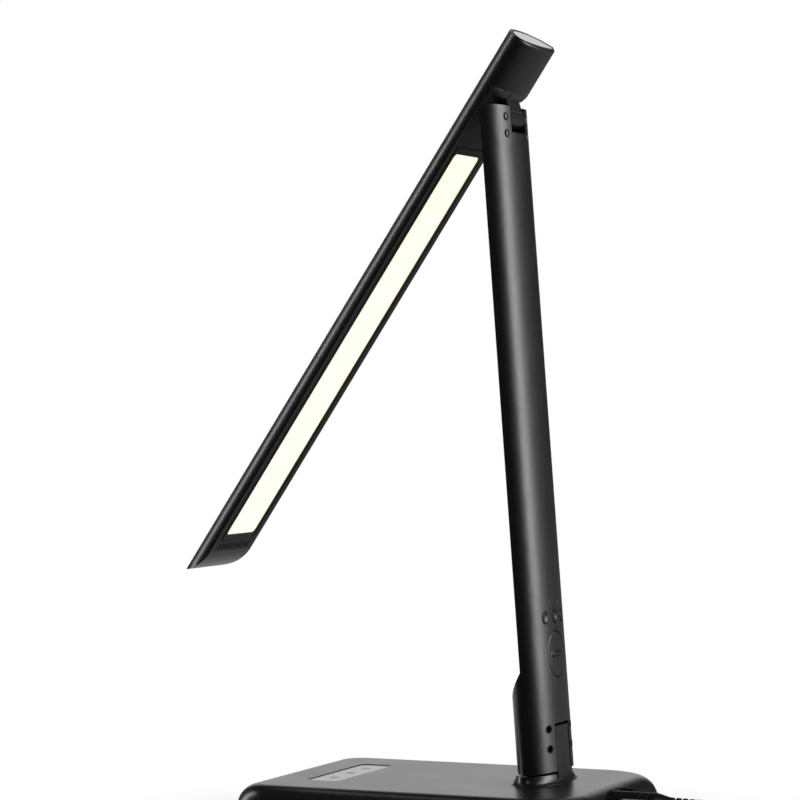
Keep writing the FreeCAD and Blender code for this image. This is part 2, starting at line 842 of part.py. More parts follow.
# Cord: plug with ribbed strain relief, free lead, coil of the spare length, tie and wall adapter
plug_radius = 5.0
plug_length = 24.0
plug_groove = 0.5
plug_groove_width = 1.2
plug_groove_places = (16.0, 20.0)
shoulder_length = 7.0
plug_pin_radius = 2.7
plug_pin_length = 8.0
plug_pin_bore = 1.2
relief_length = 18.0
relief_start_radius = 3.1
relief_end_radius = 2.5
relief_ribs = 5
relief_rib_share = 0.55
relief_groove = 0.4
cord_radius = cord_diameter / 2
plug_face = bay_wall_y + slip
plug_end = plug_face + plug_length
relief_start = plug_end + shoulder_length
relief_end = relief_start + relief_length
plug = back_cylinder(plug_radius, jack_x, jack_z, plug_face, plug_end)
for place in plug_groove_places:
    groove = back_cylinder(
        plug_radius, jack_x, jack_z, plug_face + place, plug_face + place + plug_groove_width
    )
    core = back_cylinder(
        plug_radius - plug_groove, jack_x, jack_z, plug_face + place, plug_face + place + plug_groove_width
    )
    plug = plug.cut(groove.cut(core))
plug_pin = back_cylinder(plug_pin_radius, jack_x, jack_z, plug_face - plug_pin_length, plug_face)
plug_pin = plug_pin.cut(back_cylinder(plug_pin_bore, jack_x, jack_z, plug_face - plug_pin_length, plug_face))
plug = plug.fuse(plug_pin)
shoulder = Part.makeCone(
    plug_radius, relief_start_radius, shoulder_length, Vector(jack_x, plug_end, jack_z), Vector(0, 1, 0)
)
relief = Part.makeCone(
    relief_start_radius,
    relief_end_radius,
    relief_length,
    Vector(jack_x, relief_start, jack_z),
    Vector(0, 1, 0),
)
rib_pitch = relief_length / relief_ribs
for index in range(relief_ribs):
    low = relief_start + (index + relief_rib_share) * rib_pitch
    high = relief_start + (index + 1) * rib_pitch
    if index < relief_ribs - 1:
        band = back_cylinder(relief_start_radius, jack_x, jack_z, low, high)
        core = back_cylinder(relief_end_radius - relief_groove, jack_x, jack_z, low, high)
        relief = relief.cut(band.cut(core))
save("dc_plug", plug.fuse(shoulder).fuse(relief).removeSplitter())

coil_gap = 0.95
coil_outer_radius = 25.9
coil_spiral_halves = 5
coil_layers = 4
coil_tail = 12.0
tie_thickness = 0.7
coil_middle = Vector(88.0, 152.0, 0)
coil_pitch = cord_diameter + coil_gap
coil_floor = tie_thickness + slip + cord_radius
coil_start = Vector(coil_middle.x, coil_middle.y + coil_outer_radius, coil_floor)
lead_first_run = 13.0
lead_points = [
    Vector(jack_x, relief_end, jack_z),
    Vector(jack_x, relief_end + lead_first_run, jack_z),
    Vector(12.5, 164.5, 13.0),
    Vector(24.0, 173.0, 8.6),
    Vector(38.5, 177.6, 5.2),
    Vector(54.5, 178.6, 3.2),
    Vector(71.0, coil_start.y, coil_floor),
    coil_start,
]
arc_run_share = 0.45


def rounded_path(points):
    """Straight runs joined by the largest tangent arcs that they allow, with the arcs' radii."""
    edges = []
    radii = []
    last = points[0]
    for before, corner, after in zip(points, points[1:], points[2:]):
        back = before - corner
        ahead = after - corner
        shorter = min(back.Length, ahead.Length)
        back.normalize()
        ahead.normalize()
        turn = math.pi - back.getAngle(ahead)
        cut = arc_run_share * shorter
        radius = cut / math.tan(turn / 2)
        start = corner + back * cut
        end = corner + ahead * cut
        bisector = back + ahead
        bisector.normalize()
        middle = corner + bisector * (radius / math.cos(turn / 2) - radius)
        edges.append(Part.LineSegment(last, start).toShape())
        edges.append(Part.Arc(start, middle, end).toShape())
        radii.append(radius)
        last = end
    edges.append(Part.LineSegment(last, points[-1]).toShape())
    return Part.Wire(edges), radii


def tube(wire, start, direction):
    """Cord along a wire."""
    circle = Part.Wire([Part.Circle(start, direction, cord_radius).toShape()])
    shell = Part.BRepOffsetAPI.MakePipeShell(wire)
    shell.add(circle)
    shell.build()
    shell.makeSolid()
    return shell.shape()


lead_wire, lead_radii = rounded_path(lead_points)
lead = tube(lead_wire, lead_points[0], Vector(0, 1, 0))
print("lead radii", [round(r, 1) for r in lead_radii], "length", round(lead_wire.Length, 1))
print("lead volume share", round(lead.Volume / (math.pi * cord_radius ** 2 * lead_wire.Length), 4))
save("cord_lead", lead)


def coil_stations():
    """Points and directions at each half turn: spiral in, climb, spiral out, climb, and so on."""
    radius = coil_outer_radius
    height = coil_floor
    stations = [(radius, height)]
    for layer in range(coil_layers):
        step = -coil_pitch / 2 if layer % 2 == 0 else coil_pitch / 2
        for _ in range(coil_spiral_halves):
            radius += step
            stations.append((radius, height))
        if layer < coil_layers - 1:
            height += coil_pitch
            stations.append((radius, height))
    marks = []
    for index, (r, z) in enumerate(stations):
        side = 1 if index % 2 == 0 else -1
        marks.append((Vector(coil_middle.x, coil_middle.y + side * r, z), Vector(side, 0, 0)))
    return marks


def half_turn(start, direction, end):
    """Two quarter arcs that leave along a direction and arrive against it."""
    chord = end - start
    middle = (start + end) * 0.5 + direction * (chord.Length / 2)
    made = []
    for low, way, high in ((start, direction, middle), (middle, chord.normalize(), end)):
        span = high - low
        aside = span - way * span.dot(way)
        radius = span.dot(span) / (2 * aside.Length)
        aside.normalize()
        hub = low + aside * radius
        spoke = (low - hub) + (high - hub)
        spoke.normalize()
        made.append(Part.Arc(low, hub + spoke * radius, high).toShape())
    return made


stations = coil_stations()
coil_edges = []
for (start, direction), (end, _) in zip(stations, stations[1:]):
    coil_edges.extend(half_turn(start, direction, end))
last_point, last_direction = stations[-1]
coil_end = last_point + last_direction * coil_tail
coil_edges.append(Part.LineSegment(last_point, coil_end).toShape())
coil_wire = Part.Wire(coil_edges)
coil = tube(coil_wire, stations[0][0], stations[0][1])
print("coil length", round(coil_wire.Length, 1))
print("coil volume share", round(coil.Volume / (math.pi * cord_radius ** 2 * coil_wire.Length), 4))


def least_gap(edges, samples=12, skip_turns=0.6):
    """Least distance of the coil's surface from itself, on points along its middle line."""
    points = []
    for edge in edges:
        points.extend(edge.discretize(samples)[:-1])
    skip = int(skip_turns * 4 * (samples - 1))
    least = None
    for index, point in enumerate(points):
        for other in points[index + skip:]:
            distance = point.distanceToPoint(other)
            if least is None or distance < least:
                least = distance
    return least - cord_diameter


print("coil least gap", round(least_gap(coil_edges), 2))
save("cord_coil", coil)

# Tie round the coil, on the side away from the base
tie_half_width = 3.0
tie_gap = 0.3
coil_inner_radius = coil_outer_radius - coil_spiral_halves * coil_pitch / 2
tie_inner_low = coil_middle.x + coil_inner_radius - coil_pitch / 2 - cord_radius - tie_gap
tie_inner_high = coil_middle.x + coil_outer_radius + cord_radius + tie_gap
tie_top = coil_floor + (coil_layers - 1) * coil_pitch + cord_radius + tie_gap
tie_hole = box(
    (tie_inner_low, coil_middle.y - tie_half_width, tie_thickness),
    (tie_inner_high, coil_middle.y + tie_half_width, tie_top),
)
tie_form = box(
    (tie_inner_low - tie_thickness, coil_middle.y - tie_half_width, 0),
    (tie_inner_high + tie_thickness, coil_middle.y + tie_half_width, tie_top + tie_thickness),
)
save("coil_tie", tie_form.cut(tie_hole))

# Wall adapter lying beside the coil
adapter_length = 40.0
adapter_half_width = 14.0
adapter_offset = 9.5
adapter_height = 22.0
adapter_round = 3.0
adapter_relief = 7.0
adapter_relief_radius = 2.6
adapter_pin_radius = 2.0
adapter_pin_length = 13.0
adapter_pin_half_pitch = 9.0
adapter_nose = coil_end.x - adapter_relief
adapter_y = coil_end.y - adapter_offset
adapter = box(
    (adapter_nose - adapter_length, adapter_y - adapter_half_width, 0),
    (adapter_nose, adapter_y + adapter_half_width, adapter_height),
)
adapter = adapter.makeFillet(adapter_round, adapter.Edges)
relief_cone = Part.makeCone(
    adapter_relief_radius + cord_radius / 2, adapter_relief_radius, adapter_relief,
    Vector(adapter_nose, coil_end.y, coil_end.z), Vector(1, 0, 0),
)
adapter = adapter.fuse(relief_cone)
for side in (-1, 1):
    adapter = adapter.fuse(Part.makeCylinder(
        adapter_pin_radius,
        adapter_pin_length,
        Vector(
            adapter_nose - adapter_length, adapter_y + side * adapter_pin_half_pitch, adapter_height / 2
        ),
        Vector(-1, 0, 0),
    ))
save("wall_adapter", adapter.removeSplitter())
print("cord length", round(lead_wire.Length + coil_wire.Length, 1))
print("lower pin", lower_pin, "upper pin", upper_pin)
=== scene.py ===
"""Looks of the folding LED desk lamp: finishes, cord, printed marks, small fasteners and studio.

The lamp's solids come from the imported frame. Everything here is in the same frame: the origin is on the
table under the base, +Z is up and the user sits on the -Y side. Sizes are in metres, or in millimetres where
the name ends in _mm, and angles in fields are in degrees.
"""
import json
import logging
import math
from dataclasses import dataclass, field
from enum import Enum
from typing import Any, Iterable, Mapping, Optional, Sequence, Union

import bpy
from mathutils import Matrix, Vector


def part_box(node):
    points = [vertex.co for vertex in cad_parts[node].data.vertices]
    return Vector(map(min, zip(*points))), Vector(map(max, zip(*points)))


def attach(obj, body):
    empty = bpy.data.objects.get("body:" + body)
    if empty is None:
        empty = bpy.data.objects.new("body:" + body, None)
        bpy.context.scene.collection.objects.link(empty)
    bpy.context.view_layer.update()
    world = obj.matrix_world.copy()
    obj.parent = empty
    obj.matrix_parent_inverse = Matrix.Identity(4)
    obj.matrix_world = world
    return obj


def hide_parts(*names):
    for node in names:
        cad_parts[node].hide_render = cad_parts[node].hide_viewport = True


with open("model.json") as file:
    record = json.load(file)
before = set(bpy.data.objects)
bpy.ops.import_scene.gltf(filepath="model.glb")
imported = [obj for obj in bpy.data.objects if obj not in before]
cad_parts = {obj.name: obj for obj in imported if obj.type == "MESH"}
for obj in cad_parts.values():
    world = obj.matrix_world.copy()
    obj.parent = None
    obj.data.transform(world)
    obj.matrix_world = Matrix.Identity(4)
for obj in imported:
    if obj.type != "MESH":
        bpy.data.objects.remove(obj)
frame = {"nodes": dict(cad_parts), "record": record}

LOG = logging.getLogger("lamp")
MM = 0.001
BEVEL_SAMPLES = 4
HOOP_POINTS = 40
LINE_POINTS = 6
LINE_ROUNDING = 1
BALL_SEGMENTS = 24
BALL_RINGS = 12
SLEEVE_POINTS = 32
SHARP_ANGLE = math.radians(38.0)
Colour = tuple[float, float, float]
Point = tuple[float, float, float]


class Place(Enum):
    """Place across the lamp, counted along +X."""

    LEFT = -1
    MIDDLE = 0
    RIGHT = 1

    @property
    def word(self) -> str:
        """The place as it stands in a piece's name."""
        return self.name.lower()


SIDES = (Place.LEFT, Place.RIGHT)


def turns(count: int) -> list[float]:
    """Evenly spread angles of one full turn."""
    return [2.0 * math.pi * index / count for index in range(count)]


def put(name: str, data: bpy.types.ID) -> bpy.types.Object:
    """Adds an object to the scene.

    Args:
        name: The object's name.
        data: Its mesh, curve, lamp or camera.

    Returns:
        The object, at the origin.
    """
    made = bpy.data.objects.new(name, data)
    bpy.context.scene.collection.objects.link(made)
    return made


def plain_mesh(source: bpy.types.Object) -> bpy.types.Mesh:
    """An object's evaluated mesh."""
    evaluated = source.evaluated_get(bpy.context.evaluated_depsgraph_get())
    return bpy.data.meshes.new_from_object(evaluated)


class Signal:
    """A node socket that takes part in Python expressions."""

    def __init__(self, graph: "Tree", socket: bpy.types.NodeSocket) -> None:
        """Keeps the socket and the tree that new nodes go into."""
        self.graph = graph
        self.socket = socket

    def maths(self, operation: str, *others: "Operand") -> "Signal":
        """Adds a Math node.

        Args:
            operation: Math node operation.
            others: The second and third operands.

        Returns:
            The node's value.
        """
        return self.graph.node("ShaderNodeMath", {"operation": operation}, dict(enumerate((self, *others))))

    def __add__(self, other: "Operand") -> "Signal":
        """Sum."""
        return self.maths("ADD", other)

    __radd__ = __add__

    def __sub__(self, other: "Operand") -> "Signal":
        """Difference."""
        return self.maths("SUBTRACT", other)

    def __rsub__(self, other: "Operand") -> "Signal":
        """Difference from a number."""
        return self.graph.node("ShaderNodeMath", {"operation": "SUBTRACT"}, {0: other, 1: self})

    def __mul__(self, other: "Operand") -> "Signal":
        """Product."""
        return self.maths("MULTIPLY", other)

    def __truediv__(self, other: "Operand") -> "Signal":
        """Quotient."""
        return self.maths("DIVIDE", other)

    def step(self, low: float, high: float) -> "Signal":
        """Smooth step from 0 at low to 1 at high.

        Args:
            low: Value that gives 0.
            high: Value that gives 1; it may be the smaller one.

        Returns:
            The stepped value.
        """
        down = high < low
        first, last = (high, low) if down else (low, high)
        stepped = self.graph.node(
            "ShaderNodeMapRange",
            {"interpolation_type": "SMOOTHSTEP"},
            {"Value": self, "From Min": first, "From Max": last},
        )
        return 1.0 - stepped if down else stepped


Operand = Union[Signal, float, int]


class Tree:
    """Adds nodes to a tree of any kind."""

    def __init__(self, tree: bpy.types.NodeTree) -> None:
        """Empties the tree and keeps it."""
        self.tree = tree
        self.tree.nodes.clear()

    def node(
        self,
        kind: str,
        settings: Optional[Mapping[str, Any]] = None,
        inputs: Optional[Mapping[Union[str, int], Any]] = None,
        output: Union[str, int] = 0,
    ) -> Signal:
        """Adds one node.

        Args:
            kind: Node type.
            settings: Attributes of the node, set before its sockets.
            inputs: Values or links by socket name or index.
            output: Which output to return.

        Returns:
            The chosen output.
        """
        made = self.tree.nodes.new(kind)
        for key, value in (settings or {}).items():
            setattr(made, key, value)
        for key, value in (inputs or {}).items():
            if isinstance(value, Signal):
                self.tree.links.new(value.socket, made.inputs[key])
            else:
                made.inputs[key].default_value = value
        return Signal(self, made.outputs[output])

    def outputs(self, kind: str, *names: str) -> tuple[Signal, ...]:
        """Adds one node and returns several of its outputs."""
        made = self.tree.nodes.new(kind)
        return tuple(Signal(self, made.outputs[name]) for name in names)


class Graph(Tree):
    """Builds one material's nodes."""

    def __init__(self, name: str) -> None:
        """Starts an empty material."""
        self.material = bpy.data.materials.new(name)
        self.material.use_nodes = True
        super().__init__(self.material.node_tree)

    def place(self) -> Signal:
        """Object coordinates."""
        return self.node("ShaderNodeTexCoord", output="Object")

    def axes(self) -> tuple[Signal, Signal, Signal]:
        """Object coordinates as three numbers."""
        split = self.node("ShaderNodeSeparateXYZ", inputs={0: self.place()}).socket.node
        return tuple(Signal(self, split.outputs[index]) for index in range(3))

    def noise(self, scale: float, detail: float = 3.0, stretch: Point = (1.0, 1.0, 1.0)) -> Signal:
        """Noise on Object coordinates.

        Args:
            scale: Waves per metre.
            detail: Octaves.
            stretch: Scale along each axis.

        Returns:
            Noise from 0 to 1.
        """
        mapped = self.node("ShaderNodeMapping", inputs={"Vector": self.place(), "Scale": stretch})
        return self.node(
            "ShaderNodeTexNoise", inputs={"Vector": mapped, "Scale": scale, "Detail": detail}, output="Fac"
        )

    def mix(self, factor: Operand, low: Colour, high: Colour) -> Signal:
        """Mixes two colours.

        Args:
            factor: Share of the second colour.
            low: First colour.
            high: Second colour.

        Returns:
            The mixed colour.
        """
        ends = {0: factor, 6: (*low, 1.0), 7: (*high, 1.0)}
        return self.node("ShaderNodeMix", {"data_type": "RGBA"}, ends, output=2)

    def bump(self, height: Signal, distance: float, edge: float) -> Signal:
        """Bump over softened edges.

        Args:
            height: Height signal.
            distance: Height of a signal of 1, in metres.
            edge: Radius that softens the piece's edges, in metres.

        Returns:
            A normal.
        """
        soft = self.node("ShaderNodeBevel", {"samples": BEVEL_SAMPLES}, {"Radius": edge})
        return self.node(
            "ShaderNodeBump", inputs={"Height": height, "Distance": distance, "Strength": 1.0, "Normal": soft}
        )

    def surface(self, **inputs: Any) -> bpy.types.Material:
        """Ends the material in a Principled shader.

        Args:
            inputs: Socket values or links, with underscores for spaces.

        Returns:
            The material.
        """
        named = {key.replace("_", " "): value for key, value in inputs.items()}
        return self.close(self.node("ShaderNodeBsdfPrincipled", inputs=named))

    def close(self, shader: Signal) -> bpy.types.Material:
        """Links a shader to the material's output.

        Args:
            shader: The surface shader.

        Returns:
            The material.
        """
        out = self.tree.nodes.new("ShaderNodeOutputMaterial")
        self.tree.links.new(shader.socket, out.inputs["Surface"])
        return self.material


class Repeat(Tree):
    """Geometry Nodes tree that sets one small form on a list of places."""

    def __init__(self, name: str) -> None:
        """Starts the tree with the places as its first input."""
        super().__init__(bpy.data.node_groups.new(name, "GeometryNodeTree"))
        self.values: dict[str, float] = {}
        self.tree.interface.new_socket("Geometry", in_out="OUTPUT", socket_type="NodeSocketGeometry")
        self.tree.interface.new_socket("Places", in_out="INPUT", socket_type="NodeSocketGeometry")
        self.start = self.tree.nodes.new("NodeGroupInput")

    def size(self, name: str, value: float) -> Signal:
        """Adds a named input.

        Args:
            name: The input's name.
            value: Its value in metres or radians.

        Returns:
            The input's socket inside the tree.
        """
        socket = self.tree.interface.new_socket(name, in_out="INPUT", socket_type="NodeSocketFloat")
        self.values[socket.identifier] = value
        return Signal(self, self.start.outputs[name])

    def sizes(self, **values: float) -> list[Signal]:
        """Adds several named inputs."""
        return [self.size(name, value) for name, value in values.items()]

    def vector(self, x: Operand, y: Operand, z: Operand) -> Signal:
        """Joins three numbers."""
        return self.node("ShaderNodeCombineXYZ", inputs={0: x, 1: y, 2: z})

    def block(self, x: Operand, y: Operand, z: Operand) -> Signal:
        """Box about the origin."""
        return self.node("GeometryNodeMeshCube", inputs={"Size": self.vector(x, y, z)})

    def circle(self, points: int, radius: Operand) -> Signal:
        """Circle in the XY plane."""
        return self.node("GeometryNodeCurvePrimitiveCircle", inputs={"Resolution": points, "Radius": radius})

    def sweep(self, path: Signal, profile: Signal) -> Signal:
        """Mesh of a profile that runs along a path."""
        return self.node("GeometryNodeCurveToMesh", inputs={"Curve": path, "Profile Curve": profile})

    def hoop(self, radius: Operand, line: Operand) -> Signal:
        """Ring of thin round line in the XY plane."""
        return self.sweep(self.circle(HOOP_POINTS, radius), self.circle(LINE_POINTS, line))

    def join(self, *forms: Signal) -> Signal:
        """Joins several geometries.

        Args:
            forms: The geometries.

        Returns:
            All of them as one.
        """
        made = self.tree.nodes.new("GeometryNodeJoinGeometry")
        for form in forms:
            self.tree.links.new(form.socket, made.inputs[0])
        return Signal(self, made.outputs[0])

    def dome(self, radius: Operand, height_share: Operand) -> Signal:
        """Flattened ball.

        Args:
            radius: The ball's radius.
            height_share: Its half height as a share of the radius.

        Returns:
            The ball's mesh.
        """
        ball = self.node("GeometryNodeMeshUVSphere", inputs={
            "Segments": BALL_SEGMENTS, "Rings": BALL_RINGS, "Radius": radius,
        })
        flat = self.vector(1.0, 1.0, height_share)
        return self.node("GeometryNodeTransform", inputs={"Geometry": ball, "Scale": flat})

    def sleeve(self, radius: Operand, wall: Operand, length: Operand) -> Signal:
        """Thin-walled tube along Z."""
        profile = self.node(
            "GeometryNodeCurvePrimitiveQuadrilateral", inputs={"Width": wall, "Height": length}
        )
        return self.sweep(self.circle(SLEEVE_POINTS, radius), profile)

    def build(
        self, form: Signal, places: Sequence[Vector], turn: Matrix, finish: "Finish"
    ) -> bpy.types.Object:
        """Sets the form on the places and turns the result into a plain mesh.

        Args:
            form: Geometry to repeat.
            places: Where it stands, in metres.
            turn: Turn of each copy.
            finish: Its finish.

        Returns:
            The finished object, at the origin.
        """
        angles = turn.to_euler()
        turned = self.vector(*(self.size("Turn " + axis, getattr(angles, axis)) for axis in "xyz"))
        copies = self.node("GeometryNodeInstanceOnPoints", inputs={
            "Points": Signal(self, self.start.outputs["Places"]), "Instance": form, "Rotation": turned,
        })
        real = self.node("GeometryNodeRealizeInstances", inputs={0: copies})
        done = self.node("GeometryNodeSetMaterial", inputs={"Geometry": real, "Material": finish.material()})
        out = self.tree.nodes.new("NodeGroupOutput")
        self.tree.links.new(done.socket, out.inputs[0])
        name = self.tree.name
        dots = bpy.data.meshes.new(name + "_places")
        dots.from_pydata([tuple(place) for place in places], [], [])
        piece = put(name, dots)
        modifier = piece.modifiers.new("repeat", "NODES")
        modifier.node_group = self.tree
        for identifier, value in self.values.items():
            modifier[identifier] = value
        mesh = plain_mesh(piece)
        piece.modifiers.remove(modifier)
        piece.data = mesh
        LOG.info("%s: %d copies", name, len(places))
        return piece


def add_mesh(name: str, loops: Sequence[Sequence[Vector]], finish: "Finish") -> bpy.types.Object:
    """Closed skin over a stack of loops with as many points each.

    Args:
        name: The piece's name.
        loops: The loops, from one end to the other.
        finish: Its finish.

    Returns:
        The piece, at the origin.
    """
    count = len(loops[0])
    points = [tuple(point) for loop in loops for point in loop]
    faces: list[tuple[int, ...]] = [tuple(range(count))]
    for level in range(len(loops) - 1):
        for index in range(count):
            near, far = level * count + index, level * count + (index + 1) % count
            faces.append((near, near + count, far + count, far))
    faces.append(tuple(reversed(range(len(points) - count, len(points)))))
    mesh = bpy.data.meshes.new(name)
    mesh.from_pydata(points, [], faces)
    mesh.shade_smooth()
    mesh.set_sharp_from_angle(angle=SHARP_ANGLE)
    mesh.materials.append(finish.material())
    LOG.info("%s: %d faces", name, len(faces))
    return put(name, mesh)


def add_line(name: str, points: Sequence[Vector], radius: float, finish: "Finish") -> bpy.types.Object:
    """Thin round line along a closed path.

    Args:
        name: The piece's name.
        points: The path's corners.
        radius: Half the line's width, in metres.
        finish: Its finish.

    Returns:
        The line as a plain mesh.
    """
    curve = bpy.data.curves.new(name, "CURVE")
    curve.dimensions = "3D"
    curve.bevel_depth = radius
    curve.bevel_resolution = LINE_ROUNDING
    spline = curve.splines.new("POLY")
    spline.points.add(len(points) - 1)
    for target, point in zip(spline.points, points):
        target.co = (*point, 1.0)
    spline.use_cyclic_u = True
    path = put(name + "_path", curve)
    mesh = plain_mesh(path)
    mesh.materials.append(finish.material())
    bpy.data.objects.remove(path)
    LOG.info("%s: %d points", name, len(points))
    return put(name, mesh)


def seat(piece: bpy.types.Object, body: str, slot: str, *stands_for: str) -> None:
    """Lets a piece move with a body.

    Args:
        piece: The piece.
        body: Body that carries it.
        slot: Material slot of the record that its finish belongs to; not used.
        stands_for: Solids that it replaces.
    """
    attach(piece, body)
    if stands_for:
        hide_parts(*stands_for)


class Finish:
    """A finish that is made once and shared by its pieces."""

    name: str

    def build(self) -> bpy.types.Material:
        """Makes the finish's nodes."""
        raise NotImplementedError

    def material(self) -> bpy.types.Material:
        """The finish's material, made on first use."""
        found = bpy.data.materials.get(self.name)
        return found if found is not None else self.build()


@dataclass(frozen=True)
class Moulding(Finish):
    """Moulded plastic: fine spark-eroded grain, slight mottling and uneven gloss."""

    name: str
    colour: Colour
    roughness: float
    grain: float = 0.00035
    grain_height: float = 0.00001
    mottle: float = 0.15
    gloss_spread: float = 0.06
    edge: float = 0.0003
    ior: float = 1.5
    grain_detail: float = 2.0
    cloud_scale: float = 38.0
    cloud_detail: float = 4.0

    def build(self) -> bpy.types.Material:
        """Makes the finish's nodes.

        Returns:
            The material.
        """
        graph = Graph(self.name)
        fine = graph.noise(1.0 / self.grain, self.grain_detail)
        broad = graph.noise(self.cloud_scale, self.cloud_detail)
        dark = tuple(c * (1.0 - self.mottle) for c in self.colour)
        light = tuple(c * (1.0 + self.mottle) for c in self.colour)
        return graph.surface(
            Base_Color=graph.mix(broad, dark, light),
            Roughness=self.roughness + (broad + fine - 1.0) * self.gloss_spread,
            IOR=self.ior,
            Normal=graph.bump(fine, self.grain_height, self.edge),
        )


@dataclass(frozen=True)
class Sheet(Finish):
    """Rolled or turned metal with fine drawn lines."""

    name: str
    colour: Colour
    roughness: float
    along: Point = (1.0, 1.0, 0.05)
    edge: float = 0.0002
    line_scale: float = 2600.0
    line_detail: float = 2.0
    line_height: float = 0.000004
    gloss_spread: float = 0.16
    cloud_scale: float = 90.0
    shade: float = 0.82

    def build(self) -> bpy.types.Material:
        """Makes the finish's nodes.

        Returns:
            The material.
        """
        graph = Graph(self.name)
        lines = graph.noise(self.line_scale, self.line_detail, self.along)
        cloud = graph.noise(self.cloud_scale)
        return graph.surface(
            Base_Color=graph.mix(cloud, tuple(c * self.shade for c in self.colour), self.colour),
            Metallic=1.0,
            Roughness=self.roughness + (lines - 0.5) * self.gloss_spread,
            Normal=graph.bump(lines, self.line_height, self.edge),
        )


SATIN_SHELL = Moulding("satin_shell", (0.005, 0.005, 0.0053), 0.34, grain_height=0.0000005)
# The chin's copy of the satin shell, lighter and shinier: painted sheen
CHIN_PAINTED_SHEEN = Moulding("chin_painted_sheen", (0.016, 0.016, 0.0165), 0.42, grain_height=0.0000005, ior=1.75)
SATIN_BASE = Moulding("satin_base", (0.006, 0.006, 0.0063), 0.30, grain_height=0.000001)
MATT_TRIM = Moulding("matt_trim", (0.006, 0.006, 0.006), 0.46)
GLOSS_BLACK = Moulding("gloss_black", (0.006, 0.006, 0.0065), 0.10, grain_height=0.0)
TOUCH_GLASS = Moulding("touch_glass", (0.012, 0.012, 0.0125), 0.16, grain_height=0.0, ior=1.65)
CAP_GLOSS = Moulding("cap_gloss", (0.02, 0.02, 0.021), 0.14, grain_height=0.0, ior=1.9)
SOFT_RUBBER = Moulding("soft_rubber", (0.016, 0.016, 0.016), 0.7, grain=0.0006, grain_height=0.00003)
CORD_JACKET = Moulding("cord_jacket", (0.010, 0.010, 0.0105), 0.48, grain=0.0005)
PLUG_BODY = Moulding("plug_body", (0.010, 0.010, 0.0105), 0.40)
BOARD_GREEN = Moulding("board_green", (0.02, 0.12, 0.05), 0.4, mottle=0.25)
WHITE_FILM = Moulding("white_film", (0.86, 0.86, 0.84), 0.45, mottle=0.04)
DARK_NYLON = Moulding("dark_nylon", (0.008, 0.008, 0.008), 0.5)
FAINT_PRINT = Moulding("faint_print", (0.022, 0.022, 0.022), 0.18, grain_height=0.0, ior=1.58)
PRINT_GREY = Moulding("print_grey", (0.10, 0.10, 0.10), 0.5, grain_height=0.0)
POLISHED_PLUG = Moulding("polished_plug", (0.008, 0.008, 0.0085), 0.18, grain_height=0.0)
# Near-black: painted shade in recesses, holes and gaps, and the colour of the dark seam lines
PAINTED_SHADE_AND_SEAMS = Moulding("painted_shade_and_seams", (0.003, 0.003, 0.003), 0.6, grain_height=0.0)
BRIGHT_STEEL = Sheet("bright_steel", (0.56, 0.56, 0.57), 0.28, (0.05, 1.0, 1.0))
DARK_STEEL = Sheet("dark_steel", (0.06, 0.06, 0.063), 0.42)
CELL_NICKEL = Sheet("cell_nickel", (0.68, 0.67, 0.64), 0.22, (0.05, 1.0, 1.0))
RAW_PLATE = Sheet("raw_plate", (0.20, 0.20, 0.205), 0.55, (1.0, 0.05, 1.0))
SPREADER_ALU = Sheet("spreader_alu", (0.75, 0.75, 0.76), 0.36)


@dataclass(frozen=True)
class LitDiffuser(Finish):
    """Milky panel lit from both long edges: white in the middle, a little yellower along its rim."""

    name: str = "lit_diffuser"
    middle: Colour = (0.99, 1.0, 0.865)
    rim: Colour = (1.0, 0.97, 0.66)
    centre_x: float = -0.009
    half_width: float = 0.0171
    rim_start: float = 0.8
    strength: float = 0.97
    unlit: Colour = (0.12, 0.12, 0.11)
    roughness: float = 0.6
    grain_scale: float = 900.0
    grain_spread: float = 0.05

    def build(self) -> bpy.types.Material:
        """Makes the finish's nodes.

        Returns:
            The material.
        """
        graph = Graph(self.name)
        across, _, _ = graph.axes()
        away = (across - self.centre_x).maths("ABSOLUTE") / self.half_width
        tint = graph.mix(away.step(self.rim_start, 1.0), self.middle, self.rim)
        return graph.surface(
            Base_Color=(*self.unlit, 1.0),
            Roughness=self.roughness + graph.noise(self.grain_scale) * self.grain_spread,
            Emission_Color=tint,
            Emission_Strength=self.strength,
        )


LIT_DIFFUSER = LitDiffuser()


def dress(finish: Finish, names: Iterable[str]) -> None:
    """Gives solids of the frame their finish.

    Args:
        finish: The finish.
        names: The solids' names.
    """
    for name in names:
        solid = frame["nodes"][name]
        if not solid.material_slots:
            solid.data.materials.append(None)
        for slot in solid.material_slots:
            slot.material = finish.material()
        LOG.info("%s: %s", name, finish.name)


def joint(name: str) -> Mapping[str, Any]:
    """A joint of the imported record, by name."""
    return next(j for j in frame["record"]["behaviour"]["joints"] if j["name"] == name)


class Assembly:
    """Sub-assembly whose solids are dressed from a table of finishes."""

    finishes: dict[Finish, tuple[str, ...]]

    def build(self) -> None:
        """Dresses the solids and adds the small pieces."""
        for finish, names in self.finishes.items():
            dress(finish, names)
        self.detail()

    def detail(self) -> None:
        """Adds what the solids leave out."""


@dataclass(frozen=True)
class Recess:
    """Cross recess of a screw head, drawn as a dark cross of painted shade."""

    length: float
    width: float
    depth: float

    def build(self, name: str, places: Sequence[Vector], turn: Matrix) -> bpy.types.Object:
        """Sets the recess on several heads.

        Args:
            name: The piece's name.
            places: Middles of the heads' faces.
            turn: Turn from a face that looks along Z.

        Returns:
            The recesses as one mesh.
        """
        tree = Repeat(name)
        length, width, depth = tree.sizes(Length=self.length, Width=self.width, Depth=self.depth)
        cross = tree.join(tree.block(length, width, depth), tree.block(width, length, depth))
        return tree.build(cross, places, turn, PAINTED_SHADE_AND_SEAMS)


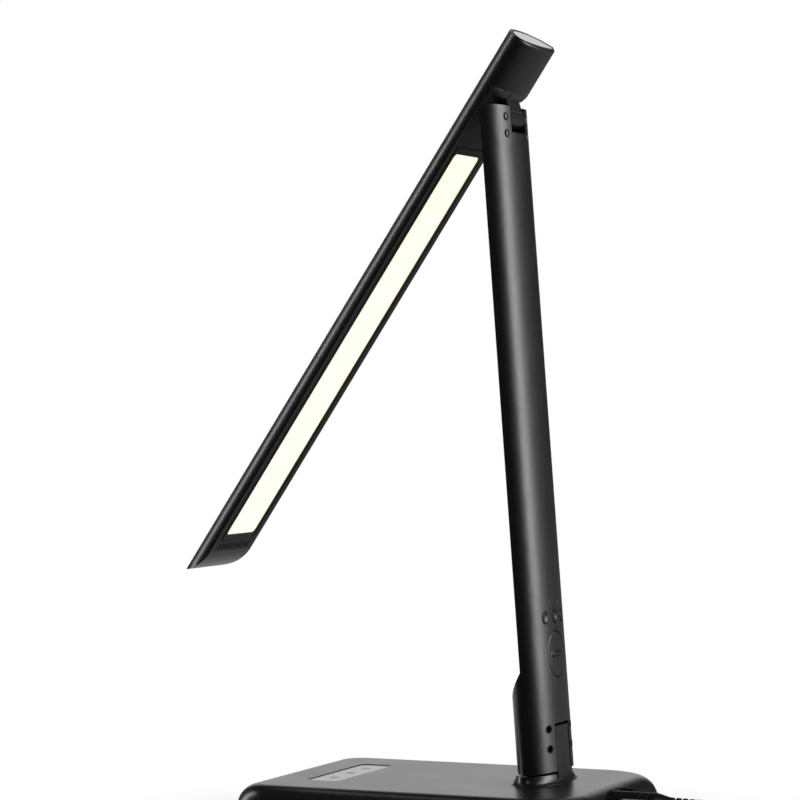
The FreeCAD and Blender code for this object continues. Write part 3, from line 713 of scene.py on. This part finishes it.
@dataclass
class Base(Assembly):
    """Weighted base with its touch panel and hinge post."""

    icon_spread: float = 21.0 * MM
    icon_radius: float = 2.6 * MM
    icon_line: float = 0.07 * MM
    icon_bar: float = 2.2 * MM
    screw_head: float = 2.8 * MM
    recess: Recess = Recess(3.2 * MM, 0.9 * MM, 0.12 * MM)
    finishes: dict[Finish, tuple[str, ...]] = field(default_factory=lambda: {
        SATIN_BASE: ("base_shell", "hinge_post"),
        MATT_TRIM: ("base_plate",),
        TOUCH_GLASS: ("touch_panel",),
        BOARD_GREEN: ("touch_board",),
        RAW_PLATE: ("ballast_plate",),
        SOFT_RUBBER: ("rubber_feet",),
        DARK_STEEL: ("base_screws",),
        PLUG_BODY: ("dc_jack",),
    })

    def detail(self) -> None:
        """Prints the touch marks and sets dark crosses of painted shade for the base screws' recesses."""
        low, high = (Vector(corner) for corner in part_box("touch_panel"))
        middle = (low + high) / 2.0
        marks = Repeat("touch_marks")
        line, radius, length = marks.sizes(Line=self.icon_line, Radius=self.icon_radius, Bar=self.icon_bar)
        mark = marks.join(marks.hoop(radius, line), marks.block(line, length, line))
        places = [Vector((middle.x + place.value * self.icon_spread, middle.y, high.z)) for place in Place]
        seat(marks.build(mark, places, Matrix.Identity(3), FAINT_PRINT), "base", "gloss_black")
        low, high = (Vector(corner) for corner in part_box("base_screws"))
        inset = Vector((self.screw_head, self.screw_head, 0.0))
        near, far = low + inset, high - inset
        places = [Vector((x, y, low.z)) for x in (near.x, far.x) for y in (near.y, far.y)]
        seat(self.recess.build("base_screw_recesses", places, Matrix.Identity(3)), "base", "dark_steel")


@dataclass
class Arm(Assembly):
    """Half-oval arm with clock buttons and battery cover."""

    half_width: float = 29.5 * MM
    depth: float = 10.3 * MM
    flat_back: float = 2.9 * MM
    tick_rise: float = 78.0 * MM
    tick_spread: float = 5.9 * MM
    tick_length: float = 2.6 * MM
    tick_width: float = 0.8 * MM
    tick_proud: float = 0.12 * MM
    screw_face: float = 10.2 * MM
    lower_screw_x: float = 16.0 * MM
    lower_screw_rises: tuple[float, float] = (13.3 * MM, 3.1 * MM)
    upper_screw_x: float = 15.2 * MM
    upper_screw_rises: tuple[float, float] = (331.7 * MM, 322.9 * MM)
    recess: Recess = Recess(2.3 * MM, 0.6 * MM, 0.1 * MM)
    plug_radius: float = 2.05 * MM
    plug_share: float = 0.5
    plug_sink: float = 0.5 * MM
    # Dark sleeves in the lower holes: painted shade
    sleeve_radius: float = 2.07 * MM
    sleeve_wall: float = 0.1 * MM
    sleeve_length: float = 0.8 * MM
    # Dark rims round the lower holes: painted shade
    rim_reach: float = 2.35 * MM
    rim_line: float = 0.32 * MM
    rim_flatness: float = 0.82
    # Strip of painted shade in the lower slot's gap: place across, ends, half width, sink below and stand
    # proud of the back
    slot_shade_x: float = -10.15 * MM
    slot_shade_bottom: float = -8.4 * MM
    slot_shade_top: float = 15.4 * MM
    slot_shade_half_width: float = 0.35 * MM
    slot_shade_sink: float = 0.6 * MM
    slot_shade_proud: float = 0.3 * MM
    disc_points: int = 96
    button_radius: float = 3.22 * MM
    button_pitch: float = 11.8 * MM
    button_rise: float = 70.6 * MM
    button_floor: float = 8.8 * MM
    button_shares_and_rises: tuple[tuple[float, float], ...] = (
        (0.1, -0.20 * MM),
        (0.4, -0.16 * MM),
        (0.62, -0.02 * MM),
        (0.72, 0.14 * MM),
        (0.79, 0.18 * MM),
        (0.85, 0.10 * MM),
        (0.92, -0.45 * MM),
        (1.0, -0.9 * MM),
    )
    cover_radius: float = 11.95 * MM
    cover_rise: float = 51.2 * MM
    cover_floor: float = 10.85 * MM
    cover_chamfer: float = 0.45 * MM
    cover_ring: float = 0.4 * MM
    cover_start: float = 0.3
    cover_steps: tuple[tuple[float, float], ...] = ((1.0 / 3.0, 1.0 / 3.0), (0.0, 1.5))
    bar_half_length: float = 7.0 * MM
    bar_half_width: float = 1.3 * MM
    bar_slope: float = 0.6 * MM
    bar_proud: float = 0.7 * MM
    finishes: dict[Finish, tuple[str, ...]] = field(default_factory=lambda: {
        SATIN_SHELL: ("arm_shell",),
        MATT_TRIM: ("arm_front_cover",),
        GLOSS_BLACK: ("display_window",),
        BOARD_GREEN: ("clock_board",),
        WHITE_FILM: ("lcd_module",),
        CELL_NICKEL: ("coin_cell",),
        BRIGHT_STEEL: ("lower_hinge_pin", "upper_hinge_pin"),
        DARK_NYLON: ("lower_hinge_washers", "upper_hinge_washers"),
        DARK_STEEL: ("lower_hinge_screws", "upper_hinge_screws"),
    })

    def world(self, x: float, y: float, z: float) -> Vector:
        """Point from the arm's own axes, which start at the lower pin and lean with the arm."""
        return Vector(joint("arm_tilt")["pos_m"]) + self.lean() @ Vector((x, y, z))

    def lean(self) -> Matrix:
        """Turn of the arm at rest, read from the way that its buttons move."""
        _, back, up = joint("set_button_middle_press")["axis"]
        return Matrix.Rotation(math.atan2(-up, -back), 3, "X")

    def skin(self, x: float) -> float:
        """Place of the arm's back along its own Y axis."""
        return self.flat_back + self.depth * math.sqrt(1.0 - (x / self.half_width) ** 2)

    def facing(self, x: float) -> Matrix:
        """Way that the arm's back faces.

        Args:
            x: Place across the arm.

        Returns:
            The turn that takes +Z to that way.
        """
        reach = x / self.half_width
        slope = -self.depth / self.half_width * reach / math.sqrt(1.0 - reach * reach)
        upright = Matrix.Rotation(-math.pi / 2.0, 3, "X")
        return self.lean() @ Matrix.Rotation(math.atan(slope), 3, "Z") @ upright

    def disc(self, x: float, z: float, profile: Sequence[Point], floor: float) -> list[list[Vector]]:
        """Loops of a round piece that follows the arm's back.

        Args:
            x: The piece's middle across the arm.
            z: The piece's middle along the arm.
            profile: Radius, rise over the arm's back and share of the grip bar, from the middle out.
            floor: Place of the piece's inner face along the arm's own Y axis.

        Returns:
            The loops, from the middle of the outer face to the inner face.
        """
        loops = []
        angles = [-angle for angle in turns(self.disc_points)]
        for radius, rise, bar in profile:
            loop = []
            for angle in angles:
                across, along = radius * math.cos(angle), radius * math.sin(angle)
                lift = rise + bar * self.bar_height(across, along)
                loop.append(self.world(x + across, self.skin(x + across) + lift, z + along))
            loops.append(loop)
        rim = profile[-1][0]
        loops.append([self.world(x + rim * math.cos(a), floor, z + rim * math.sin(a)) for a in angles])
        return loops

    def bar_height(self, across: float, along: float) -> float:
        """Height of the battery cover's grip bar over the cover.

        Args:
            across: Place across the arm from the cover's middle.
            along: Place along the arm from the cover's middle.

        Returns:
            The height.
        """
        side = min(max((self.bar_half_width - abs(along)) / self.bar_slope, 0.0), 1.0)
        end = min(max((self.bar_half_length - abs(across)) / self.bar_slope, 0.0), 1.0)
        return self.bar_proud * side * end

    def make_buttons(self) -> None:
        """Dished buttons with a chamfer that shows as a dark ring."""
        profile = [(share * self.button_radius, rise, 0.0) for share, rise in self.button_shares_and_rises]
        for place in Place:
            body = "button_" + place.word
            loops = self.disc(place.value * self.button_pitch, self.button_rise, profile, self.button_floor)
            piece = add_mesh("set_" + body + "_cap", loops, SATIN_SHELL)
            seat(piece, body, "button", "set_" + body)

    def make_cover(self) -> None:
        """Battery cover with a chamfered rim and its grip bar."""
        flat = self.cover_radius - self.cover_chamfer
        rings = round(flat / self.cover_ring)
        steps = [index + self.cover_start for index in range(rings + 1)]
        profile = [(flat * step / steps[-1], 0.0, 1.0) for step in steps]
        for inset, drop in self.cover_steps:
            radius = self.cover_radius - self.cover_chamfer * inset
            profile.append((radius, -self.cover_chamfer * drop, 0.0))
        loops = self.disc(0.0, self.cover_rise, profile, self.cover_floor)
        seat(add_mesh("battery_cover_cap", loops, SATIN_SHELL), "cover", "cover_black", "battery_cover")

    def lower_holes(self, y: float) -> list[Vector]:
        """Middles of the lower fork's holes at a place along the arm's own Y axis."""
        xs = [side.value * self.lower_screw_x for side in SIDES]
        return [self.world(x, y, rise) for rise in self.lower_screw_rises for x in xs]

    def make_hole_trim(self) -> None:
        """Domed plugs in the upper fork's holes; in the lower fork's, dark sleeves and dark screw recesses as
        painted shade.
        """
        for side in SIDES:
            x = side.value * self.upper_screw_x
            plugs = Repeat("hole_plugs_" + side.word)
            form = plugs.dome(plugs.size("Radius", self.plug_radius), self.plug_share)
            places = [self.world(x, self.skin(x) - self.plug_sink, rise) for rise in self.upper_screw_rises]
            seat(plugs.build(form, places, self.facing(x), POLISHED_PLUG), "arm", "shell_black")
        sleeves = Repeat("hole_shade_sleeves")
        form = sleeves.sleeve(*sleeves.sizes(
            Radius=self.sleeve_radius, Wall=self.sleeve_wall, Length=self.sleeve_length
        ))
        back = self.facing(0.0)
        places = self.lower_holes(self.screw_face + self.sleeve_length / 2.0)
        seat(sleeves.build(form, places, back, PAINTED_SHADE_AND_SEAMS), "arm", "shell_black")
        places = self.lower_holes(self.screw_face)
        seat(self.recess.build("hinge_screw_recesses", places, back), "arm", "dark_steel")

    def make_hole_shade_rims(self) -> None:
        """Dark rims of painted shade that widen the lower fork's holes across the arm."""
        for side in SIDES:
            for rise, level in zip(self.lower_screw_rises, ("upper", "lower")):
                ring = []
                for angle in turns(self.disc_points):
                    across = side.value * self.lower_screw_x + self.rim_reach * math.cos(angle)
                    along = rise + self.rim_reach * self.rim_flatness * math.sin(angle)
                    ring.append(self.world(across, self.skin(across), along))
                rim = add_line("hole_shade_rim_" + side.word + "_" + level, ring, self.rim_line, PAINTED_SHADE_AND_SEAMS)
                seat(rim, "arm", "shell_black")

    def make_slot_painted_shade(self) -> None:
        """Dark strip of painted shade on the lower slot's far side, where its gap lies in shadow."""
        inner, outer = self.slot_shade_x + self.slot_shade_half_width, self.slot_shade_x - self.slot_shade_half_width
        corners = (
            (inner, self.skin(inner) + self.slot_shade_proud),
            (inner, self.skin(inner) - self.slot_shade_sink),
            (outer, self.skin(outer) - self.slot_shade_sink),
            (outer, self.skin(outer) + self.slot_shade_proud),
        )
        ends = [[self.world(x, y, z) for x, y in corners] for z in (self.slot_shade_bottom, self.slot_shade_top)]
        seat(add_mesh("slot_painted_shade", ends, PAINTED_SHADE_AND_SEAMS), "arm", "shell_black")

    def make_ticks(self) -> None:
        """Printed ticks over the buttons."""
        ticks = Repeat("button_ticks")
        form = ticks.block(*ticks.sizes(
            Width=self.tick_width, Length=self.tick_length, Proud=self.tick_proud
        ))
        xs = [side.value * self.tick_spread for side in SIDES]
        places = [self.world(x, self.skin(x), self.tick_rise) for x in xs]
        seat(ticks.build(form, places, self.facing(0.0), PRINT_GREY), "arm", "shell_black")

    def detail(self) -> None:
        """Adds buttons, battery cover, hole trim, the painted shade in the slot's gap and printed ticks."""
        self.make_buttons()
        self.make_cover()
        self.make_hole_trim()
        self.make_hole_shade_rims()
        self.make_slot_painted_shade()
        self.make_ticks()


@dataclass
class Head(Assembly):
    """Half-oval head with its light panel."""

    turn: float = -33.4
    half_width: float = 25.5 * MM
    underside: float = -9.2 * MM
    neck_depth: float = 6.62 * MM
    chin_top: float = 13.45 * MM
    chin_bottom: float = 5.0 * MM
    chin_levels: int = 14
    chin_points: int = 40
    chin_narrowing: float = 0.3
    chin_curve: float = 1.6
    chin_flattening: float = 0.92
    arm_clearance: float = 9.35 * MM
    tongue_half_width: float = 9.43 * MM
    tongue_outline_mm: tuple[tuple[float, float], ...] = (
        (-9.15, 13.2), (-2.7, 13.2), (-4.3, 5.6), (-3.06, 4.2), (-5.0, 1.45), (-8.6, 5.2),
    )
    groove_half_width: float = 9.38 * MM
    groove_outline_mm: tuple[tuple[float, float], ...] = (
        (0.88, 5.55), (1.14, 5.88), (1.61, 5.51), (1.35, 5.18),
    )
    cap_top: float = 41.5 * MM
    cap_half_width: float = 23.7 * MM
    cap_front: float = 11.4 * MM
    cap_back: float = 4.8 * MM
    cap_points: int = 80
    seam: float = 0.3 * MM
    frame_half_width: float = 19.5 * MM
    frame_top: float = -24.2 * MM
    frame_bottom: float = -273.6 * MM
    frame_corner: float = 2.6 * MM
    corner_steps: int = 4
    finishes: dict[Finish, tuple[str, ...]] = field(default_factory=lambda: {
        SATIN_SHELL: ("head_shell", "neck_knuckle"),
        MATT_TRIM: ("head_bottom_cover", "panel_frame"),
        CAP_GLOSS: ("head_end_cap",),
        LIT_DIFFUSER: ("diffuser",),
        WHITE_FILM: ("reflector", "led_strips", "light_guide"),
        SPREADER_ALU: ("heat_spreader",),
    })

    def world(self, x: float, y: float, z: float) -> Vector:
        """Point from the head's own axes, which start at the upper pin."""
        turn = Matrix.Rotation(math.radians(self.turn), 3, "X")
        return Vector(joint("head_tilt")["pos_m"]) + turn @ Vector((x, y, z))

    def make_chin(self) -> None:
        """Bowl under the neck, hollowed to clear the arm's top and lighter than the shell as painted sheen,
        and tongue and groove in the slot, the groove dark as painted shade.
        """
        loops = []
        angles = [math.pi * index / (self.chin_points - 1) for index in range(self.chin_points)]
        for level in range(self.chin_levels):
            share = level / (self.chin_levels - 1)
            z = self.chin_top + (self.chin_bottom - self.chin_top) * share
            depth = self.neck_depth * math.sqrt(1.0 - (self.chin_flattening * share) ** 2)
            if z < self.arm_clearance:
                depth = min(depth, -self.underside - math.sqrt(self.arm_clearance ** 2 - z * z))
            width = self.half_width * (1.0 - self.chin_narrowing * share ** self.chin_curve)
            loops.append([
                self.world(width * math.cos(a), self.underside + depth * math.sin(a), z) for a in angles
            ])
        # The bowl's lighter finish is painted sheen
        seat(add_mesh("chin_bowl", loops, CHIN_PAINTED_SHEEN), "head", "shell_black")
        # The groove is a dark insert: painted shade
        for name, half_width, outline, finish in (
            ("neck_tongue", self.tongue_half_width, self.tongue_outline_mm, SATIN_SHELL),
            ("knuckle_groove_shade", self.groove_half_width, self.groove_outline_mm, PAINTED_SHADE_AND_SEAMS),
        ):
            sides = [[self.world(x, y * MM, z * MM) for y, z in outline] for x in (-half_width, half_width)]
            seat(add_mesh(name, sides, finish), "head", "shell_black")

    def make_seams(self) -> None:
        """Dark lines round the end cap and the light panel's frame."""
        ring = []
        for angle in turns(self.cap_points):
            reach = self.cap_back if math.sin(angle) > 0.0 else self.cap_front
            x, y = self.cap_half_width * math.cos(angle), self.underside + reach * math.sin(angle)
            ring.append(self.world(x, y, self.cap_top))
        seat(add_line("cap_seam", ring, self.seam, PAINTED_SHADE_AND_SEAMS), "head", "gloss_black")
        path = []
        corners = (
            (1, self.frame_bottom + self.frame_corner, -90.0),
            (1, self.frame_top - self.frame_corner, 0.0),
            (-1, self.frame_top - self.frame_corner, 90.0),
            (-1, self.frame_bottom + self.frame_corner, 180.0),
        )
        for side, middle_z, start in corners:
            middle_x = side * (self.frame_half_width - self.frame_corner)
            for step in range(self.corner_steps + 1):
                angle = math.radians(start + 90.0 * step / self.corner_steps)
                x = middle_x + self.frame_corner * math.cos(angle)
                path.append(self.world(x, self.underside, middle_z + self.frame_corner * math.sin(angle)))
        seat(add_line("frame_seam", path, self.seam, PAINTED_SHADE_AND_SEAMS), "head", "trim_black")

    def detail(self) -> None:
        """Adds the chin and the seams."""
        self.make_chin()
        self.make_seams()


@dataclass
class PowerCord:
    """Low-voltage cord: free lead from the plug, coil of its spare length, and the wall adapter."""

    diameter: float = 3.6 * MM
    round_steps: int = 5
    steps_per_point: int = 4
    route_mm: tuple[Point, ...] = (
        (6.0, 139.15, 17.5),
        (6.0, 152.15, 17.5),
        (12.5, 164.5, 13.0),
        (24.0, 173.0, 8.6),
        (38.5, 177.6, 5.2),
        (54.5, 178.6, 3.2),
        (71.0, 177.9, 2.65),
    )
    coil_middle_mm: tuple[float, float] = (88.0, 152.0)
    outer_radius_mm: float = 25.9
    pitch_mm: float = 4.55
    floor_mm: float = 2.65
    spiral_halves: int = 5
    layers: int = 4
    points_per_half: int = 8
    own_weight: float = 0.75
    tail_mm: float = 12.0

    def stations(self) -> list[tuple[float, float]]:
        """Half turns of the coil.

        Returns:
            Radius and height at the start of each half turn and at the end, in millimetres.
        """
        radius, height = self.outer_radius_mm, self.floor_mm
        made = [(radius, height)]
        for layer in range(self.layers):
            step = self.pitch_mm / 2.0 * (-1.0 if layer % 2 == 0 else 1.0)
            for _ in range(self.spiral_halves):
                radius += step
                made.append((radius, height))
            if layer < self.layers - 1:
                height += self.pitch_mm
                made.append((radius, height))
        return made

    def coil_points(self) -> list[Point]:
        """Control points of the coil's turns and its straight tail.

        A spline of order 3 gives a control point three quarters of the weight where it passes that point.
        It runs a little inside them for that, so their circle is swollen to suit.

        Returns:
            The points, in millimetres.
        """
        turn_step = math.pi / self.points_per_half
        swell = 1.0 / (self.own_weight + (1.0 - self.own_weight) * math.cos(turn_step))
        made: list[Point] = []
        stations = self.stations()
        middle_x, middle_y = self.coil_middle_mm
        for half, (start, end) in enumerate(zip(stations, stations[1:])):
            for index in range(self.points_per_half):
                share = index / self.points_per_half
                angle = math.pi * (half + share)
                ease = share * share * (3.0 - 2.0 * share)
                radius = (start[0] + (end[0] - start[0]) * share) * swell
                height = start[1] + (end[1] - start[1]) * ease
                x, y = middle_x + radius * math.sin(angle), middle_y + radius * math.cos(angle)
                made.append((x, y, height))
        last_radius, last_height = stations[-1]
        for share in (0.0, 0.5, 1.0):
            made.append((middle_x - share * self.tail_mm, middle_y - last_radius, last_height))
        return made

    def build(self) -> None:
        """Draws the cord as one spline and dresses the pieces on it."""
        dress(PLUG_BODY, ("dc_plug", "wall_adapter"))
        dress(SOFT_RUBBER, ("coil_tie",))
        curve = bpy.data.curves.new("power_cord", "CURVE")
        curve.dimensions = "3D"
        curve.bevel_depth = self.diameter / 2.0
        curve.bevel_resolution = self.round_steps
        curve.resolution_u = self.steps_per_point
        curve.use_fill_caps = True
        spline = curve.splines.new("NURBS")
        points = [*self.route_mm, *self.coil_points()]
        spline.points.add(len(points) - 1)
        for target, point in zip(spline.points, points):
            target.co = (*(c * MM for c in point), 1.0)
        spline.order_u = 3
        spline.use_endpoint_u = True
        cord = put("power_cord", curve)
        curve.materials.append(CORD_JACKET.material())
        seat(cord, "base", "cord", "cord_lead", "cord_coil")
        LOG.info("power_cord: %.3f m", spline.calc_length())


@dataclass(frozen=True)
class SoftBox:
    """Soft lamp that looks at the object's middle."""

    name: str
    azimuth: float
    elevation: float
    distance: float
    size: tuple[float, float]
    power: float
    target: Point = (0.0, 0.0, 0.22)

    def build(self) -> None:
        """Hangs the lamp."""
        turn, rise = math.radians(self.azimuth), math.radians(self.elevation)
        way = Vector((math.cos(turn) * math.cos(rise), math.sin(turn) * math.cos(rise), math.sin(rise)))
        data = bpy.data.lights.new(self.name, "AREA")
        data.shape = "RECTANGLE"
        data.size, data.size_y = self.size
        data.energy = self.power
        lamp = put(self.name, data)
        lamp.location = Vector(self.target) + way * self.distance
        lamp.rotation_mode = "QUATERNION"
        lamp.rotation_quaternion = (-way).to_track_quat("-Z", "Y")


@dataclass
class Studio:
    """White floor and background, soft lamps and the photograph's camera."""

    camera_mm: Point = (1580.0, 635.75, 234.8)
    camera_turn: float = 22.87
    focal_px: float = 3242.2
    frame_px: float = 800.0
    horizon_px: float = 376.4
    sensor: float = 36.0
    # Background: its even light, the dim room that reflections see, and the backdrop's edge as cosines
    fill: float = 0.35
    dim: float = 0.03
    backdrop_rise: float = 9.0
    far_start: float = 0.951
    far_end: float = 0.990
    # Floor: where it turns white round the lamp, and its strength in reflections towards the far side
    clear_start: float = 0.10
    clear_end: float = 0.22
    shadow_share: float = 0.3
    floor_dim: float = 0.06
    floor_bright: float = 0.75
    floor_start: float = 0.05
    floor_end: float = 0.45
    floor_side: float = 0.12
    floor_side_least: float = 0.2
    floor_size: float = 12.0
    floor_drop: float = 0.2 * MM
    floor_grey: Colour = (0.82, 0.82, 0.82)
    white: Colour = (1.0, 1.0, 1.0)
    clip_start: float = 0.05
    clip_end: float = 50.0
    boxes: tuple[SoftBox, ...] = (
        SoftBox("right_strip", 124.0, 10.0, 1.5, (0.40, 1.5), 17.5),
        SoftBox("left_strip", -94.0, 15.0, 1.5, (0.35, 1.3), 8.0),
        SoftBox("cap_light", -170.0, 22.0, 1.6, (0.35, 0.35), 0.17, (-0.009, 0.05, 0.40)),
        SoftBox("front_fill", 25.0, 40.0, 2.2, (0.5, 0.5), 4.0),
    )

    def build(self) -> None:
        """Makes the stage."""
        self.make_camera()
        self.make_world()
        self.make_floor()
        for lamp in self.boxes:
            lamp.build()
        bpy.context.scene.view_settings.view_transform = "Standard"

    def look(self) -> Vector:
        """The way that the camera looks."""
        turn = math.radians(self.camera_turn)
        return Vector((-math.cos(turn), -math.sin(turn), 0.0))

    def backdrop(self) -> Vector:
        """The way to the middle of the lit backdrop, a little over the horizon."""
        rise = math.radians(self.backdrop_rise)
        return self.look() * math.cos(rise) + Vector((0.0, 0.0, math.sin(rise)))

    def make_camera(self) -> None:
        """Level camera; a small shift puts the horizon where the photograph has it."""
        data = bpy.data.cameras.new("camera")
        data.sensor_width = self.sensor
        data.lens = self.focal_px / self.frame_px * self.sensor
        data.shift_y = (self.horizon_px - self.frame_px / 2.0) / self.frame_px
        data.clip_start = self.clip_start
        data.clip_end = self.clip_end
        camera = put("camera", data)
        camera.location = Vector(self.camera_mm) * MM
        camera.rotation_mode = "QUATERNION"
        camera.rotation_quaternion = self.look().to_track_quat("-Z", "Y")
        bpy.context.scene.camera = camera

    def make_world(self) -> None:
        """White to the camera; reflections see the white backdrop on the far side, else a dim room."""
        world = bpy.data.worlds.new("studio")
        world.use_nodes = True
        tree = Tree(world.node_tree)
        camera, glossy, clear = tree.outputs(
            "ShaderNodeLightPath", "Is Camera Ray", "Is Glossy Ray", "Is Transmission Ray"
        )
        way = tree.node("ShaderNodeTexCoord", output="Generated")
        ends = {0: way, 1: self.backdrop()}
        ahead = tree.node("ShaderNodeVectorMath", {"operation": "DOT_PRODUCT"}, ends, output="Value")
        mirrored = ahead.step(self.far_start, self.far_end) * (1.0 - self.dim) + self.dim
        seen = glossy.maths("MAXIMUM", clear)
        strength = self.fill + seen * (mirrored - self.fill)
        strength = strength + camera * (1.0 - strength)
        white = tree.node("ShaderNodeBackground", inputs={"Color": (*self.white, 1.0), "Strength": strength})
        out = tree.tree.nodes.new("ShaderNodeOutputWorld")
        tree.tree.links.new(white.socket, out.inputs["Surface"])
        bpy.context.scene.world = world

    def make_floor(self) -> None:
        """White table top: pure white away from the lamp, with the lamp's soft shadow close to it."""
        bpy.ops.mesh.primitive_plane_add(size=self.floor_size, location=(0.0, 0.0, -self.floor_drop))
        floor = bpy.context.object
        floor.name = "floor"
        graph = Graph("floor_white")
        camera, glossy = graph.outputs("ShaderNodeLightPath", "Is Camera Ray", "Is Glossy Ray")
        x, y, _ = graph.axes()
        away = (x * x + y * y).maths("SQRT").step(self.clear_start, self.clear_end)
        shown = camera * (1.0 - (1.0 - away) * self.shadow_share)
        matt = graph.node("ShaderNodeBsdfDiffuse", inputs={"Color": (*self.floor_grey, 1.0)})
        white = graph.node("ShaderNodeEmission", inputs={"Color": (*self.white, 1.0), "Strength": 1.0})
        look = self.look()
        far = (x * look.x + y * look.y).step(self.floor_start, self.floor_end)
        side = (x * look.y - y * look.x).step(self.floor_side, -self.floor_side)
        far = far * (side * (1.0 - self.floor_side_least) + self.floor_side_least)
        level = far * (self.floor_bright - self.floor_dim) + self.floor_dim
        dim = graph.node("ShaderNodeEmission", inputs={"Color": (*self.white, 1.0), "Strength": level})
        both = graph.node("ShaderNodeMixShader", inputs={0: shown, 1: matt, 2: white})
        mirrored = graph.node("ShaderNodeMixShader", inputs={0: glossy, 1: both, 2: dim})
        floor.data.materials.append(graph.close(mirrored))


def main() -> None:
    """Builds and dresses the lamp, piece by piece."""
    logging.basicConfig(level=logging.INFO, format="%(name)s %(message)s")
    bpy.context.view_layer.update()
    for assembly in (Studio(), PowerCord(), Base(), Arm(), Head()):
        assembly.build()


if __name__ == "__main__":
    main()
